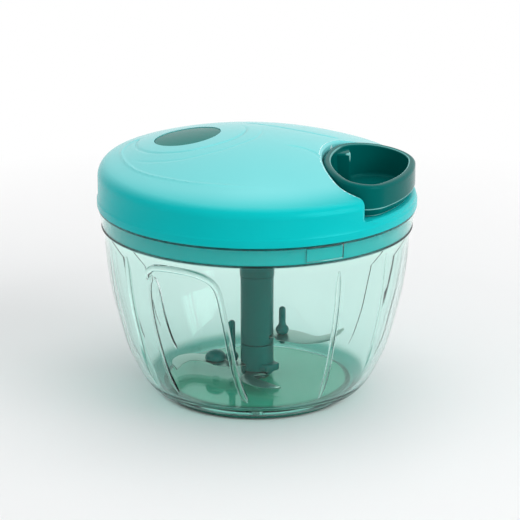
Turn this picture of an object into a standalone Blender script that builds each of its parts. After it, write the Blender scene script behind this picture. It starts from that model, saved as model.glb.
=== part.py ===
"""Pull cord food chopper, modelled piece by piece in metres with +Z up.

The bowl stands on its base pad at z = 0, centred on the origin. The handle is pulled out of the lid
along the pull direction, its cord turns a reel under the lid, and the reel drives the blades below.
"""

import math

import bmesh
import bpy
from mathutils import Matrix, Vector

# Fits, in metres
CLEARANCE = 0.0003
OVERRUN = 0.0020
EMBED = 0.0004

# How finely round shapes are divided
BIG_SEGMENTS = 44
MID_SEGMENTS = 28
SMALL_SEGMENTS = 16

# Lid: outer shell. Its radius sets the handle, the skirt and the bowl's collar too
LID_RADIUS = 0.0600
LIP_PROUD = 0.0004
LIP_HEIGHT = 0.0027
LIP_STEP = 0.0008
LID_SHELL = 0.0020
LID_HEIGHT = 0.0250
CROWN_RADIUS = 0.1644
SHOULDER_RADIUS = 0.0050
TILT_RISE = 0.0018
TILT_AZIMUTH = 148.0
TILT_START = 0.0061
TILT_GROWTH_SHARE = 0.5
CROWN_RINGS = 5
SHOULDER_RINGS = 5

# Lid: dark round inlay in the top
INLAY_LEFT = 0.0262
INLAY_BACK = 0.0100
INLAY_HALF_LENGTH = 0.0147
INLAY_HALF_WIDTH = 0.0121
INLAY_TURN = 78.0
INLAY_SINK = 0.0002
INLAY_THICKNESS = 0.0006

# Lid: base with its skirt inside the bowl's collar
SKIRT_INSET = 0.0010
SKIRT_WALL = 0.0018
BASE_PLATE = 0.0020
BASE_FLANGE_WALL = 0.0020
LUG_AZIMUTHS = (-65.0, 55.0, 175.0)
LUG_WIDTH = 0.0140
LUG_RISE = 0.0013
LUG_HEIGHT = 0.0046
LUG_PROUD = 0.0009
SHAFT_NECK_RADIUS = 0.0078
SHAFT_NECK_HEIGHT = 0.0017

# Lid screws
SCREW_AZIMUTHS = (-80.0, 40.0, 160.0)
SCREW_CIRCLE = 0.0380
SCREW_SHANK = 0.0012
SCREW_HEAD = 0.0028
SCREW_HEAD_HEIGHT = 0.0018
SCREW_LENGTH = 0.0110
SCREW_SLOT = 0.0007
PILLAR_RADIUS = 0.0036
SCREW_BOSS_RADIUS = 0.0048
SCREW_BOSS_HEIGHT = 0.0027

# Bowl. The height of its body sets how high everything in the lid stands
BOWL_BODY_HEIGHT = 0.0639
BOWL_WALL = 0.0020
BOWL_FOOT_RADIUS = 0.0375
COLLAR_HEIGHT = 0.0076
COLLAR_WALL = 0.0015
COLLAR_FLARE = 0.0016
COLLAR_STEP = 0.0006
RIM_ROUND = 0.0005
FLOOR_INSET = 0.0038
FLOOR_COVE = 0.0012
BOSS_RADIUS = 0.0042
BOSS_DROP = 0.0026
PIN_SEAT_DROP = 0.0028
PIN_RADIUS = 0.0020
PIN_HEIGHT = 0.0107
PIN_ROUND = 0.0006

# Outer curve of the bowl's body: height share, radius share, from the foot to the collar
BOWL_CURVE_SHARES = (
    (0.0, 0.0), (0.027, 0.15), (0.088, 0.31), (0.177, 0.465), (0.297, 0.625),
    (0.448, 0.755), (0.628, 0.885), (0.809, 0.965), (1.0, 1.0),
)

# Relief on the bowl: azimuths in degrees, heights as shares of the collar's foot
ROD_AZIMUTHS = (-58.0, 32.0, 122.0, -148.0)
ROD_WIDTH = 0.0019
ROD_PROUD = 0.0013
ROD_SPAN_SHARES = (0.129, 0.921)
FLUTE_AZIMUTHS = (-163.0, -33.0, -11.0, 11.0, 57.0, 147.0, 165.0)
FLUTE_WIDTH = 0.0015
FLUTE_PROUD = 0.0006
FLUTE_SPAN_SHARES = (0.242, 0.958)
BEAD_WIDTH = 0.0018
BEAD_PROUD = 0.0009
THIN_BEAD_WIDTH = 0.0011
THIN_BEAD_PROUD = 0.0006

# Section of every bead, in shares of its half width and its rise, and how far its ends narrow
BEAD_SECTION_SHARES = ((-1.0, 0.3), (-0.5, 1.0), (0.5, 1.0), (1.0, 0.3))
BEAD_END_SHARE = 0.55

# Grip outline on the bowl's front left: azimuth in degrees, height share of the collar's foot
GRIP_ARCH_SHARES = (
    (-133.5, 0.900), (-130.5, 0.938), (-122.0, 0.950), (-113.0, 0.946), (-107.5, 0.922),
    (-104.4, 0.870), (-103.0, 0.780), (-101.8, 0.660), (-100.4, 0.500), (-99.0, 0.350),
    (-97.0, 0.235), (-94.5, 0.170),
)
GRIP_LEG_SHARES = (
    (-131.0, 0.880), (-133.2, 0.820), (-133.0, 0.700), (-132.4, 0.540), (-131.6, 0.380),
    (-130.4, 0.245), (-129.6, 0.165),
)
GRIP_BRACE_SHARES = ((-130.0, 0.880), (-128.4, 0.830), (-126.6, 0.660), (-124.9, 0.520), (-123.4, 0.470))

# Base pad
PAD_INSET = 0.0013
PAD_UNDERCUT = 0.0021
PAD_FLANGE = 0.0018
PAD_PLUG = 0.0015
PAD_CHAMFER = 0.0009
PAD_PLUG_INSET = 0.0024
PAD_CENTRE_HOLE = 0.0046

# Pull handle: outline in the pull frame, whose +X is the pull direction
PULL_AZIMUTH = -20.0
HANDLE_INSET = 0.0005
NOSE_TIP = 0.0253
NOSE_SIDE = 0.0098
NOSE_RADIUS = 0.0446
FRONT_CORNER_SHARE = 0.30
BACK_CORNER_SHARE = 0.478
HANDLE_LIFT = 0.0057
HANDLE_HEIGHT = 0.0149
HANDLE_RIM_SLOPE_SHARE = 0.12
HANDLE_WALL = 0.0027
HANDLE_FLOOR = 0.0015
HANDLE_CHAMFER = 0.0018
HANDLE_CHAMFER_HEIGHT = 0.0029
HANDLE_DRAFT = 0.0007
RIM_OUTER_ROUND = 0.0010
RIM_INNER_ROUND = 0.0005
WELL_ROUND = 0.0014
POCKET_GAP = 0.0006
ARC_STEPS = 9

# Cord, its knot and its guide
CORD_RADIUS = 0.0009
CORD_RISE = 0.0072
KNOT_RADIUS = 0.00165
KNOT_LENGTH = 0.0030
KNOT_DEPTH = 0.0021
ANCHOR_TURN = 20.0
ANCHOR_BEYOND = 0.0035
ANCHOR_FRONT = 0.0031
ANCHOR_BACK = 0.0190
ANCHOR_SINK = 0.0009
GUIDE_RADIUS = 0.0026
GUIDE_FLANGE_RADIUS = 0.0034
GUIDE_FLANGE = 0.0008
GUIDE_BOSS_WALL = 0.0012
GUIDE_LENGTH = 0.0050

# The knot from its near end to its far one: radius share, length share
KNOT_SHARES = ((0.70, 0.08), (1.0, 0.35), (1.0, 0.65), (0.70, 0.92))

# Reel and its winding
WINDING_RADIUS = 0.0135
WINDING_TURNS = 3.5
WINDING_PITCH = 0.0026
WINDING_POINTS = 24
FLANGE_PROUD = 0.0035
REEL_FLANGE = 0.0011
DRUM_WALL = 0.0011
HUB_RADIUS = 0.0042
HUB_HEIGHT = 0.0038
RATCHET_RING_RADIUS = 0.0166
RATCHET_ROOT_RADIUS = 0.0149
RATCHET_TIP_RADIUS = 0.0134
RATCHET_TEETH = 12
CAP_THICKNESS = 0.0010
CAP_INSET = 0.0004

# Recoil spring: a flat strip wound as a spiral
SPRING_STRIP = 0.0004
SPRING_HEIGHT = 0.0070
SPRING_TURNS = 5.0
SPRING_POINTS = 18

# Axle, arbor and washer
AXLE_RADIUS = 0.0019
AXLE_DEPTH = 0.0057
AXLE_CROWN_DROP = 0.0047
ARBOR_WALL = 0.0015
WASHER_THICKNESS = 0.0004
WASHER_WALL = 0.0012

# One-way clutch rotor and output coupling
ROTOR_RADIUS = 0.0098
ROTOR_HEIGHT = 0.0034
PAWL_COUNT = 3
PAWL_THICKNESS = 0.0011
PAWL_SWEEP = 62.0
PAWL_TIP_GAP = 0.0005
PAWL_STEPS = 8
SLEEVE_RADIUS = 0.00645
SLEEVE_LENGTH = 0.0196
SLEEVE_ROUND = 0.0004
SHAFT_RADIUS = 0.0040
HEX_SHAFT_RADIUS = 0.0044
DOG_RADIUS = 0.0039
DOG_LENGTH = 0.0090
HEX_SIDES = 6

# Blade unit
COLUMN_RADIUS = 0.0063
COLUMN_ROUND = 0.0004
HUB_LENGTH = 0.0122
SPIGOT_RADIUS = 0.0044
SPIGOT_LENGTH = 0.0050
HUB_FOOT_GAP = 0.0006
FIN_REACH = 0.0093
FIN_THICKNESS = 0.0026
FIN_LIFT = 0.0024
BLADE_THICKNESS = 0.0008
EDGE_THICKNESS = 0.0002
GRIND_SHARE = 0.25
TANG_HALF_WIDTH = 0.0040
TANG_END = 0.0034
UPPER_BLADE_RISE = 0.0031
UPPER_BLADE_REACH = 0.0333
UPPER_BLADE_TURN = 0.0
MIDDLE_BLADE_RISE = 0.0040
MIDDLE_BLADE_REACH = 0.0333
MIDDLE_BLADE_TURN = 183.0
LOWER_BLADE_RISE = 0.0013
LOWER_BLADE_REACH = 0.0225
LOWER_BLADE_TURN = -95.0

# The hub's fin from above, in shares of its reach
FIN_SHARES = (
    (0.52, 0.10), (0.69, -0.06), (0.90, -0.36), (0.90, -0.44), (0.70, -0.66),
    (0.40, -0.81), (0.10, -0.72), (0.10, -0.52), (0.38, -0.36),
)

# Blades from above, in shares of their reach, row by row from the root to the tip:
# hollow edge along and aside, rounded edge along and aside, lift
UPPER_BLADE_SHARES = (
    (0.215, 0.190, 0.215, -0.210, 0.0),
    (0.290, 0.170, 0.290, -0.235, 0.0),
    (0.380, 0.138, 0.370, -0.275, 0.0),
    (0.490, 0.078, 0.480, -0.322, 0.0),
    (0.590, -0.010, 0.590, -0.338, 0.0),
    (0.690, -0.092, 0.690, -0.325, 0.005),
    (0.790, -0.068, 0.800, -0.285, 0.014),
    (0.870, -0.026, 0.880, -0.195, 0.024),
    (0.940, 0.016, 0.950, -0.095, 0.036),
    (0.990, 0.046, 1.000, 0.020, 0.046),
)
MIDDLE_BLADE_SHARES = (
    (0.213, 0.126, 0.213, -0.138, 0.0),
    (0.315, 0.150, 0.315, -0.162, 0.0),
    (0.405, 0.138, 0.405, -0.198, 0.0),
    (0.495, 0.072, 0.498, -0.246, 0.0),
    (0.586, -0.030, 0.595, -0.294, 0.0),
    (0.685, -0.078, 0.703, -0.330, 0.0),
    (0.772, -0.078, 0.811, -0.320, 0.0),
    (0.844, 0.012, 0.907, -0.250, 0.0),
    (0.886, 0.108, 0.967, -0.126, 0.0),
    (0.913, 0.186, 0.979, 0.018, 0.0),
    (0.925, 0.228, 0.955, 0.138, 0.0),
)
LOWER_BLADE_SHARES = (
    (0.310, 0.089, 0.310, -0.196, 0.0),
    (0.382, -0.009, 0.427, -0.222, 0.0),
    (0.462, -0.009, 0.560, -0.231, 0.0),
    (0.551, 0.076, 0.680, -0.187, 0.0),
    (0.618, 0.151, 0.782, -0.089, 0.0),
    (0.680, 0.227, 0.867, 0.040, 0.0),
    (0.756, 0.324, 0.924, 0.187, 0.0),
    (0.836, 0.418, 0.929, 0.338, 0.0),
    (0.876, 0.471, 0.902, 0.449, 0.0),
)

# Stirrer pegs and the domed clip that stand on the blades
PEG_STEM_RADIUS = 0.00128
PEG_BASE_RADIUS = 0.0025
PEG_NECK_RADIUS = 0.0010
PEG_NUB_RADIUS = 0.0014
PEG_NUB_DROP = 0.0026
PEG_OFFSET = 0.0033
PEG_SIDE = 0.0010
UPPER_PEG_HEIGHT = 0.0107
LOWER_PEG_HEIGHT = 0.0160
CLIP_OFFSET = 0.0062
CLIP_SIDE = 0.0030
CLIP_RADIUS = 0.0041
CLIP_HEIGHT = 0.0036
SHORT_NUB_DROP = 0.0012

# A peg's nub: radius share, share of its drop. Its foot: radius and height in shares of the base radius.
# Its tip: radius share, share of the stem's radius below the top
PEG_NUB_SHARES = ((0.0, 1.0), (0.5, 0.83), (1.0, 0.5), (1.0, 0.0))
PEG_FOOT_SHARES = ((0.80, 0.0), (1.0, 0.5), (0.90, 1.0), (0.76, 1.5))
PEG_TIP_SHARES = ((1.0, 1.0), (0.70, 0.30), (0.0, 0.0))

# Dome of the clip: radius share, height share
CLIP_SHARES = ((1.0, 0.0), (1.0, 0.12), (0.93, 0.42), (0.72, 0.74), (0.40, 0.94), (0.0, 1.0))

# Widths worked out from the sizes above
LID_WALL_RADIUS = LID_RADIUS - LIP_PROUD
BASE_FLANGE_RADIUS = LID_WALL_RADIUS - LID_SHELL - CLEARANCE
SKIRT_RADIUS = BASE_FLANGE_RADIUS - SKIRT_INSET
COLLAR_BORE = SKIRT_RADIUS + CLEARANCE
COLLAR_LOW_RADIUS = COLLAR_BORE + COLLAR_WALL
COLLAR_TOP_RADIUS = COLLAR_LOW_RADIUS + COLLAR_FLARE
BOWL_BODY_RADIUS = COLLAR_LOW_RADIUS - COLLAR_STEP
FLOOR_RADIUS = BOWL_FOOT_RADIUS - FLOOR_INSET
PAD_RADIUS = BOWL_FOOT_RADIUS - PAD_INSET
PAD_FOOT_RADIUS = PAD_RADIUS - PAD_UNDERCUT
PIN_BORE = PIN_RADIUS + CLEARANCE
AXLE_BORE = AXLE_RADIUS + CLEARANCE
ARBOR_RADIUS = AXLE_BORE + ARBOR_WALL
DRUM_RADIUS = WINDING_RADIUS - CORD_RADIUS - CLEARANCE
REEL_FLANGE_RADIUS = WINDING_RADIUS + FLANGE_PROUD
SPRING_BORE = DRUM_RADIUS - DRUM_WALL
HANDLE_OUTER_RADIUS = LID_WALL_RADIUS - HANDLE_INSET
NOSE_CENTRE_X = NOSE_TIP + NOSE_RADIUS
HANDLE_DEPTH = HANDLE_OUTER_RADIUS + NOSE_RADIUS - math.hypot(NOSE_CENTRE_X, NOSE_SIDE)
FRONT_CORNER_RADIUS = HANDLE_DEPTH * FRONT_CORNER_SHARE
BACK_CORNER_RADIUS = HANDLE_DEPTH * BACK_CORNER_SHARE
PEG_PLACE = COLUMN_RADIUS + PEG_OFFSET
CLIP_PLACE = PEG_PLACE + CLIP_OFFSET

# Levels worked out from the sizes above
BOWL_FOOT = PAD_FLANGE + CLEARANCE
RECESS_ROOF = PAD_FLANGE + PAD_PLUG + CLEARANCE
FLOOR = RECESS_ROOF + BOWL_WALL
PIN_TOP = FLOOR + PIN_HEIGHT
COLLAR_FOOT = BOWL_FOOT + BOWL_BODY_HEIGHT
BOWL_TOP = COLLAR_FOOT + COLLAR_HEIGHT
LIP_FOOT = BOWL_TOP + CLEARANCE
CROWN_TOP = LIP_FOOT + LID_HEIGHT
CROWN_CENTRE = CROWN_TOP - CROWN_RADIUS
TILT_FOOT = LIP_FOOT + TILT_START
SKIRT_FOOT = COLLAR_FOOT + CLEARANCE
LUG_LOW = SKIRT_FOOT + LUG_RISE
PLATE_TOP = SKIRT_FOOT + BASE_PLATE
NECK_TOP = PLATE_TOP + SHAFT_NECK_HEIGHT
HANDLE_BOTTOM = LIP_FOOT + HANDLE_LIFT
HANDLE_NOSE_TOP = HANDLE_BOTTOM + HANDLE_HEIGHT
POCKET_FLOOR = HANDLE_BOTTOM - CLEARANCE
BASE_TOP = POCKET_FLOOR - LID_SHELL - CLEARANCE
CORD_HEIGHT = HANDLE_BOTTOM + CORD_RISE
KNOT_FACE_X = NOSE_TIP + HANDLE_WALL + KNOT_DEPTH
SCREW_SEAT = SKIRT_FOOT + SCREW_HEAD_HEIGHT + CLEARANCE
PILLAR_FOOT = PLATE_TOP + SCREW_BOSS_HEIGHT + CLEARANCE
ROTOR_FOOT = NECK_TOP + CLEARANCE
ROTOR_TOP = ROTOR_FOOT + ROTOR_HEIGHT
WEB_FOOT = ROTOR_TOP + CLEARANCE
WINDING_FOOT = CORD_HEIGHT - WINDING_TURNS * WINDING_PITCH
DRUM_FOOT = WINDING_FOOT - CORD_RADIUS - CLEARANCE
DRUM_TOP = CORD_HEIGHT + CORD_RADIUS + CLEARANCE
HUB_TOP = DRUM_FOOT + HUB_HEIGHT
WASHER_FOOT = HUB_TOP + CLEARANCE
ARBOR_FOOT = WASHER_FOOT + WASHER_THICKNESS + CLEARANCE
REEL_TOP = DRUM_TOP + REEL_FLANGE
CAP_FOOT = REEL_TOP + CLEARANCE
AXLE_TOP = CROWN_TOP - AXLE_CROWN_DROP
AXLE_FOOT = SKIRT_FOOT - AXLE_DEPTH
SLEEVE_TOP = SKIRT_FOOT - CLEARANCE
SLEEVE_FOOT = SLEEVE_TOP - SLEEVE_LENGTH
COLUMN_TOP = SLEEVE_FOOT - CLEARANCE
HUB_FOOT = FLOOR + HUB_FOOT_GAP
COLUMN_SEAM = HUB_FOOT + HUB_LENGTH
UPPER_BLADE_HEIGHT = COLUMN_SEAM + UPPER_BLADE_RISE
MIDDLE_BLADE_HEIGHT = HUB_FOOT + MIDDLE_BLADE_RISE
LOWER_BLADE_HEIGHT = HUB_FOOT + LOWER_BLADE_RISE
PULL = math.radians(PULL_AZIMUTH)


def material(name, colour, roughness, metallic=0.0, alpha=1.0):
    """A plain surface for one sub-part."""
    made = bpy.data.materials.new(name)
    made.use_nodes = True
    shader = made.node_tree.nodes["Principled BSDF"]
    shader.inputs["Base Color"].default_value = (*colour, 1.0)
    shader.inputs["Roughness"].default_value = roughness
    shader.inputs["Metallic"].default_value = metallic
    shader.inputs["Alpha"].default_value = alpha
    made.diffuse_color = (*colour, alpha)
    return made


def make(name, bm, surface=None, parent=None):
    """Turn a bmesh into an object whose faces point out, smooth where it is round."""
    bmesh.ops.recalc_face_normals(bm, faces=bm.faces[:])
    mesh = bpy.data.meshes.new(name)
    bm.to_mesh(mesh)
    bm.free()
    mesh.shade_smooth()
    mesh.set_sharp_from_angle(angle=math.radians(35.0))
    piece = bpy.data.objects.new(name, mesh)
    bpy.context.scene.collection.objects.link(piece)
    piece.parent = parent
    if surface is not None:
        mesh.materials.append(surface)
    return piece


def hidden(piece):
    """Mark a cutter or a guide, which is no piece of the chopper."""
    piece.hide_render = True
    piece.display_type = "WIRE"
    return piece


def empty(name, parent=None, turn=0.0):
    """A frame on a joint's axis, for the pieces that move together."""
    frame = bpy.data.objects.new(name, None)
    frame.rotation_euler.z = turn
    frame.parent = parent
    bpy.context.scene.collection.objects.link(frame)
    return frame


def combine(piece, operand, operation):
    """Cut or join with another closed mesh, which is then only a guide."""
    boolean = piece.modifiers.new(operand.name, "BOOLEAN")
    boolean.operation = operation
    boolean.solver = "EXACT"
    boolean.object = hidden(operand)


def cut(piece, *cutters):
    for cutter in cutters:
        combine(piece, cutter, "DIFFERENCE")
    return piece


def join(piece, *others):
    for other in others:
        combine(piece, other, "UNION")
    return piece


def turned(name, profile, surface=None, parent=None, segments=MID_SEGMENTS, place=(0.0, 0.0), bend=None):
    """Spin (radius, height) points about the upright axis at place; closed unless both ends are on it."""
    bm = bmesh.new()
    points = [bm.verts.new((radius, 0.0, height)) for radius, height in profile]
    edges = [bm.edges.new(pair) for pair in zip(points, points[1:])]
    if profile[0][0] or profile[-1][0]:
        edges.append(bm.edges.new((points[-1], points[0])))
    bmesh.ops.spin(
        bm, geom=points + edges, cent=(0.0, 0.0, 0.0), axis=(0.0, 0.0, 1.0),
        angle=math.tau, steps=segments, use_merge=True,
    )
    bmesh.ops.remove_doubles(bm, verts=bm.verts[:], dist=EMBED / segments)
    if bend:
        for vertex in bm.verts:
            vertex.co.z += bend(vertex.co)
    bmesh.ops.translate(bm, verts=bm.verts[:], vec=(*place, 0.0))
    return make(name, bm, surface, parent)


def prism(name, outline, low, high, surface=None, parent=None):
    """An upright prism over a closed outline of (x, y) points."""
    bm = bmesh.new()
    base = bm.faces.new([bm.verts.new((x, y, low)) for x, y in outline])
    grown = bmesh.ops.extrude_face_region(bm, geom=[base])["geom"]
    top = [item for item in grown if isinstance(item, bmesh.types.BMVert)]
    bmesh.ops.translate(bm, verts=top, vec=(0.0, 0.0, high - low))
    return make(name, bm, surface, parent)


def skin(bm, rings, capped=True):
    """Skin a row of rings that have equal numbers of points, and close its two ends."""
    loops = [[bm.verts.new(point) for point in ring] for ring in rings]
    for near, far in zip(loops, loops[1:]):
        for index, vertex in enumerate(near):
            after = (index + 1) % len(near)
            bm.faces.new((vertex, near[after], far[after], far[index]))
    if capped:
        bm.faces.new(loops[0])
        bm.faces.new(loops[-1])


def lofted(name, rings, surface=None, parent=None):
    bm = bmesh.new()
    skin(bm, rings)
    return make(name, bm, surface, parent)


def polar(radius, azimuth, height):
    """A point from its radius, its azimuth in degrees and its height."""
    angle = math.radians(azimuth)
    return Vector((radius * math.cos(angle), radius * math.sin(angle), height))


def circle(radius, steps, centre=(0.0, 0.0)):
    turns = [math.tau * step / steps for step in range(steps)]
    return [(centre[0] + radius * math.cos(turn), centre[1] + radius * math.sin(turn)) for turn in turns]


def arc(centre, radius, start, end, steps):
    """Points on a round stretch, with angles in radians and both ends kept."""
    turns = [start + (end - start) * step / steps for step in range(steps + 1)]
    return [(centre[0] + radius * math.cos(turn), centre[1] + radius * math.sin(turn)) for turn in turns]


def sector(name, inner, outer, low, high, azimuth, width, parent=None, steps=4):
    """A block bent round the upright axis, width long at its outer side."""
    half = math.degrees(width / outer) / 2
    turns = [azimuth - half + 2 * half * step / steps for step in range(steps + 1)]
    rings = []
    for turn in turns:
        corners = ((inner, low), (outer, low), (outer, high), (inner, high))
        rings.append([polar(radius, turn, height) for radius, height in corners])
    return lofted(name, rings, parent=parent)


def tube(name, points, radius, surface, parent, sides_level=2):
    """A round cord through a list of points, with flat ends."""
    line = bpy.data.curves.new(name, "CURVE")
    line.dimensions = "3D"
    line.bevel_depth = radius
    line.bevel_resolution = sides_level
    line.use_fill_caps = True
    spline = line.splines.new("POLY")
    spline.points.add(len(points) - 1)
    for target, point in zip(spline.points, points):
        target.co = (*point, 1.0)
    line.materials.append(surface)
    piece = bpy.data.objects.new(name, line)
    piece.parent = parent
    bpy.context.scene.collection.objects.link(piece)
    return piece


def smooth_between(table, value):
    """Read a table of (position, value) pairs as a smooth curve with no overshoot."""
    last = len(table) - 1
    index = max(0, min(last - 1, sum(1 for place, _ in table if place <= value) - 1))

    def slope(at):
        low, high = max(at - 1, 0), min(at + 1, last)
        return (table[high][1] - table[low][1]) / (table[high][0] - table[low][0])

    (start, first), (end, second) = table[index], table[index + 1]
    run = end - start
    part = (value - start) / run
    rise = 3 * part ** 2 - 2 * part ** 3
    lead = part ** 3 - 2 * part ** 2 + part
    tail = part ** 3 - part ** 2
    return first + (second - first) * rise + run * (slope(index) * lead + slope(index + 1) * tail)


def bowl_radius(height):
    """Outer radius of the bowl's body at a height."""
    share = (height - BOWL_FOOT) / (COLLAR_FOOT - BOWL_FOOT)
    reach = smooth_between(BOWL_CURVE_SHARES, min(max(share, 0.0), 1.0))
    return BOWL_FOOT_RADIUS + (BOWL_BODY_RADIUS - BOWL_FOOT_RADIUS) * reach


def wall_slope(height):
    """How fast the bowl's outer radius grows with height."""
    step = (COLLAR_FOOT - BOWL_FOOT) * EMBED / BOWL_WALL / len(BOWL_CURVE_SHARES)
    return (bowl_radius(height + step) - bowl_radius(height - step)) / (2 * step)


def bowl_profile():
    """Closed section of the bowl, from the pin's seat round the rim to the boss below."""
    pad_room = PAD_RADIUS - PAD_PLUG_INSET + CLEARANCE
    boss_foot = RECESS_ROOF - BOSS_DROP
    outer_heights = [BOWL_FOOT + (COLLAR_FOOT - BOWL_FOOT) * share for share, _ in BOWL_CURVE_SHARES]
    outer = [(bowl_radius(height), height) for height in outer_heights]
    inner = []
    for radius, height in outer:
        lean = wall_slope(height)
        spread = BOWL_WALL / math.hypot(1.0, lean)
        place = (radius - spread, height + spread * lean)
        if place[1] > FLOOR + 2 * FLOOR_COVE and place[1] < COLLAR_FOOT - BOWL_WALL:
            inner.append(place)
    inner_top = BOWL_BODY_RADIUS - BOWL_WALL
    pin_seat = FLOOR - PIN_SEAT_DROP
    cove_radius = FLOOR_RADIUS + (bowl_radius(FLOOR) - BOWL_WALL - FLOOR_RADIUS) / 2
    return (
        [(0.0, pin_seat), (PIN_BORE, pin_seat), (PIN_BORE, FLOOR), (FLOOR_RADIUS, FLOOR)]
        + [(cove_radius, FLOOR + FLOOR_COVE)]
        + inner
        + [(inner_top, COLLAR_FOOT), (COLLAR_BORE, COLLAR_FOOT), (COLLAR_BORE, BOWL_TOP - RIM_ROUND)]
        + [(COLLAR_BORE + RIM_ROUND, BOWL_TOP), (COLLAR_TOP_RADIUS - RIM_ROUND, BOWL_TOP)]
        + [(COLLAR_TOP_RADIUS, BOWL_TOP - RIM_ROUND), (COLLAR_LOW_RADIUS, COLLAR_FOOT)]
        + outer[::-1]
        + [(pad_room, BOWL_FOOT), (pad_room, RECESS_ROOF)]
        + [(BOSS_RADIUS, RECESS_ROOF), (BOSS_RADIUS, boss_foot), (0.0, boss_foot)]
    )


def wall_rib(bm, path, width, proud, outside):
    """A low round bead along (azimuth, height) points on one side of the bowl's wall."""
    rings = []
    inset = 0.0 if outside else BOWL_WALL
    way = 1.0 if outside else -1.0
    places = []
    for azimuth, height in path:
        lean = wall_slope(height)
        spread = inset * math.hypot(1.0, lean)
        places.append(polar(bowl_radius(height) - spread, azimuth, height))
    for index, (azimuth, height) in enumerate(path):
        before, after = places[max(index - 1, 0)], places[min(index + 1, len(places) - 1)]
        along = (after - before).normalized()
        lean = wall_slope(height)
        outward = (polar(1.0, azimuth, 0.0) - Vector((0.0, 0.0, lean))).normalized() * way
        across = along.cross(outward).normalized()
        taper = BEAD_END_SHARE if index in (0, len(path) - 1) else 1.0
        half = width / 2 * taper
        section = [(half * side, proud * taper * rise) for side, rise in BEAD_SECTION_SHARES]
        section = [(-half, -EMBED)] + section + [(half, -EMBED)]
        rings.append([places[index] + across * side + outward * up for side, up in section])
    skin(bm, rings)


def upright_path(azimuth, span, steps):
    """A straight path up the bowl's wall between two shares of the collar's foot."""
    low, high = span
    return [(azimuth, (low + (high - low) * step / steps) * COLLAR_FOOT) for step in range(steps + 1)]


def make_bowl(surface, parent):
    """Clear bowl with mould ribs, the grip outline and slots for the lid's lugs."""
    bowl = turned("bowl", bowl_profile(), surface, parent, BIG_SEGMENTS)
    inner = bmesh.new()
    for azimuth in ROD_AZIMUTHS:
        wall_rib(inner, upright_path(azimuth, ROD_SPAN_SHARES, 6), ROD_WIDTH, ROD_PROUD, False)
    for azimuth in FLUTE_AZIMUTHS:
        wall_rib(inner, upright_path(azimuth, FLUTE_SPAN_SHARES, 5), FLUTE_WIDTH, FLUTE_PROUD, False)
    outer = bmesh.new()
    grips = ((GRIP_ARCH_SHARES, BEAD_WIDTH, BEAD_PROUD), (GRIP_LEG_SHARES, BEAD_WIDTH, BEAD_PROUD))
    grips += ((GRIP_BRACE_SHARES, THIN_BEAD_WIDTH, THIN_BEAD_PROUD),)
    for shares, width, proud in grips:
        path = [(azimuth, share * COLLAR_FOOT) for azimuth, share in shares]
        wall_rib(outer, path, width, proud, True)
    join(bowl, make("bowl_inner_ribs", inner, parent=parent), make("bowl_grip", outer, parent=parent))
    slot_outer = SKIRT_RADIUS + LUG_PROUD + CLEARANCE
    slot_low = LUG_LOW - CLEARANCE
    for number, azimuth in enumerate(LUG_AZIMUTHS, 1):
        slot_width = LUG_WIDTH + 2 * CLEARANCE
        slot = sector(
            f"lug_slot_{number}", SKIRT_RADIUS - BOWL_WALL, slot_outer, slot_low, BOWL_TOP + OVERRUN,
            azimuth, slot_width, parent,
        )
        cut(bowl, slot)
    return bowl


def make_base_pad(surface, parent):
    """Non-slip pad whose raised plug sits in the bowl's recess."""
    plug = PAD_RADIUS - PAD_PLUG_INSET
    profile = [
        (PAD_CENTRE_HOLE, 0.0), (PAD_FOOT_RADIUS, 0.0), (PAD_RADIUS - PAD_CHAMFER / 3, PAD_CHAMFER),
        (PAD_RADIUS, PAD_FLANGE - PAD_CHAMFER / 3), (PAD_RADIUS - PAD_CHAMFER / 3, PAD_FLANGE),
        (plug, PAD_FLANGE), (plug, PAD_FLANGE + PAD_PLUG), (PAD_CENTRE_HOLE, PAD_FLANGE + PAD_PLUG),
    ]
    return turned("base_pad", profile, surface, parent, BIG_SEGMENTS)


def make_centre_pin(surface, parent):
    foot = FLOOR - PIN_SEAT_DROP + CLEARANCE
    profile = [
        (0.0, foot), (PIN_RADIUS, foot), (PIN_RADIUS, PIN_TOP - PIN_ROUND),
        (PIN_RADIUS - PIN_ROUND / 3, PIN_TOP - PIN_ROUND / 3), (PIN_RADIUS - PIN_ROUND, PIN_TOP),
        (0.0, PIN_TOP),
    ]
    return turned("centre_pin", profile, surface, parent, SMALL_SEGMENTS)


def lid_bend(point):
    """The lid's top leans a little: how much higher it is at a point."""
    angle = math.radians(TILT_AZIMUTH)
    share = (point.x * math.cos(angle) + point.y * math.sin(angle)) / LID_WALL_RADIUS
    growth = (point.z - TILT_FOOT) / (CROWN_TOP - TILT_FOOT)
    return TILT_RISE * share * min(max(growth, 0.0) / TILT_GROWTH_SHARE, 1.0)


def crown_profile(inset, wall_inset):
    """Top of the lid from its middle over the shoulder, set in by a wall's thickness."""
    crown = CROWN_RADIUS - inset
    wall = LID_WALL_RADIUS - wall_inset
    shoulder = max(SHOULDER_RADIUS - inset, SHOULDER_RADIUS / 4)
    shoulder_centre_x = wall - shoulder
    reach = crown - shoulder
    shoulder_centre_z = CROWN_CENTRE + math.sqrt(reach ** 2 - shoulder_centre_x ** 2)
    turn = math.asin(shoulder_centre_x / reach)
    points = []
    for step in range(CROWN_RINGS):
        angle = turn * step / CROWN_RINGS
        points.append((crown * math.sin(angle), CROWN_CENTRE + crown * math.cos(angle)))
    for step in range(SHOULDER_RINGS + 1):
        angle = turn + (math.pi / 2 - turn) * step / SHOULDER_RINGS
        out, up = shoulder * math.sin(angle), shoulder * math.cos(angle)
        points.append((shoulder_centre_x + out, shoulder_centre_z + up))
    return points


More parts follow.
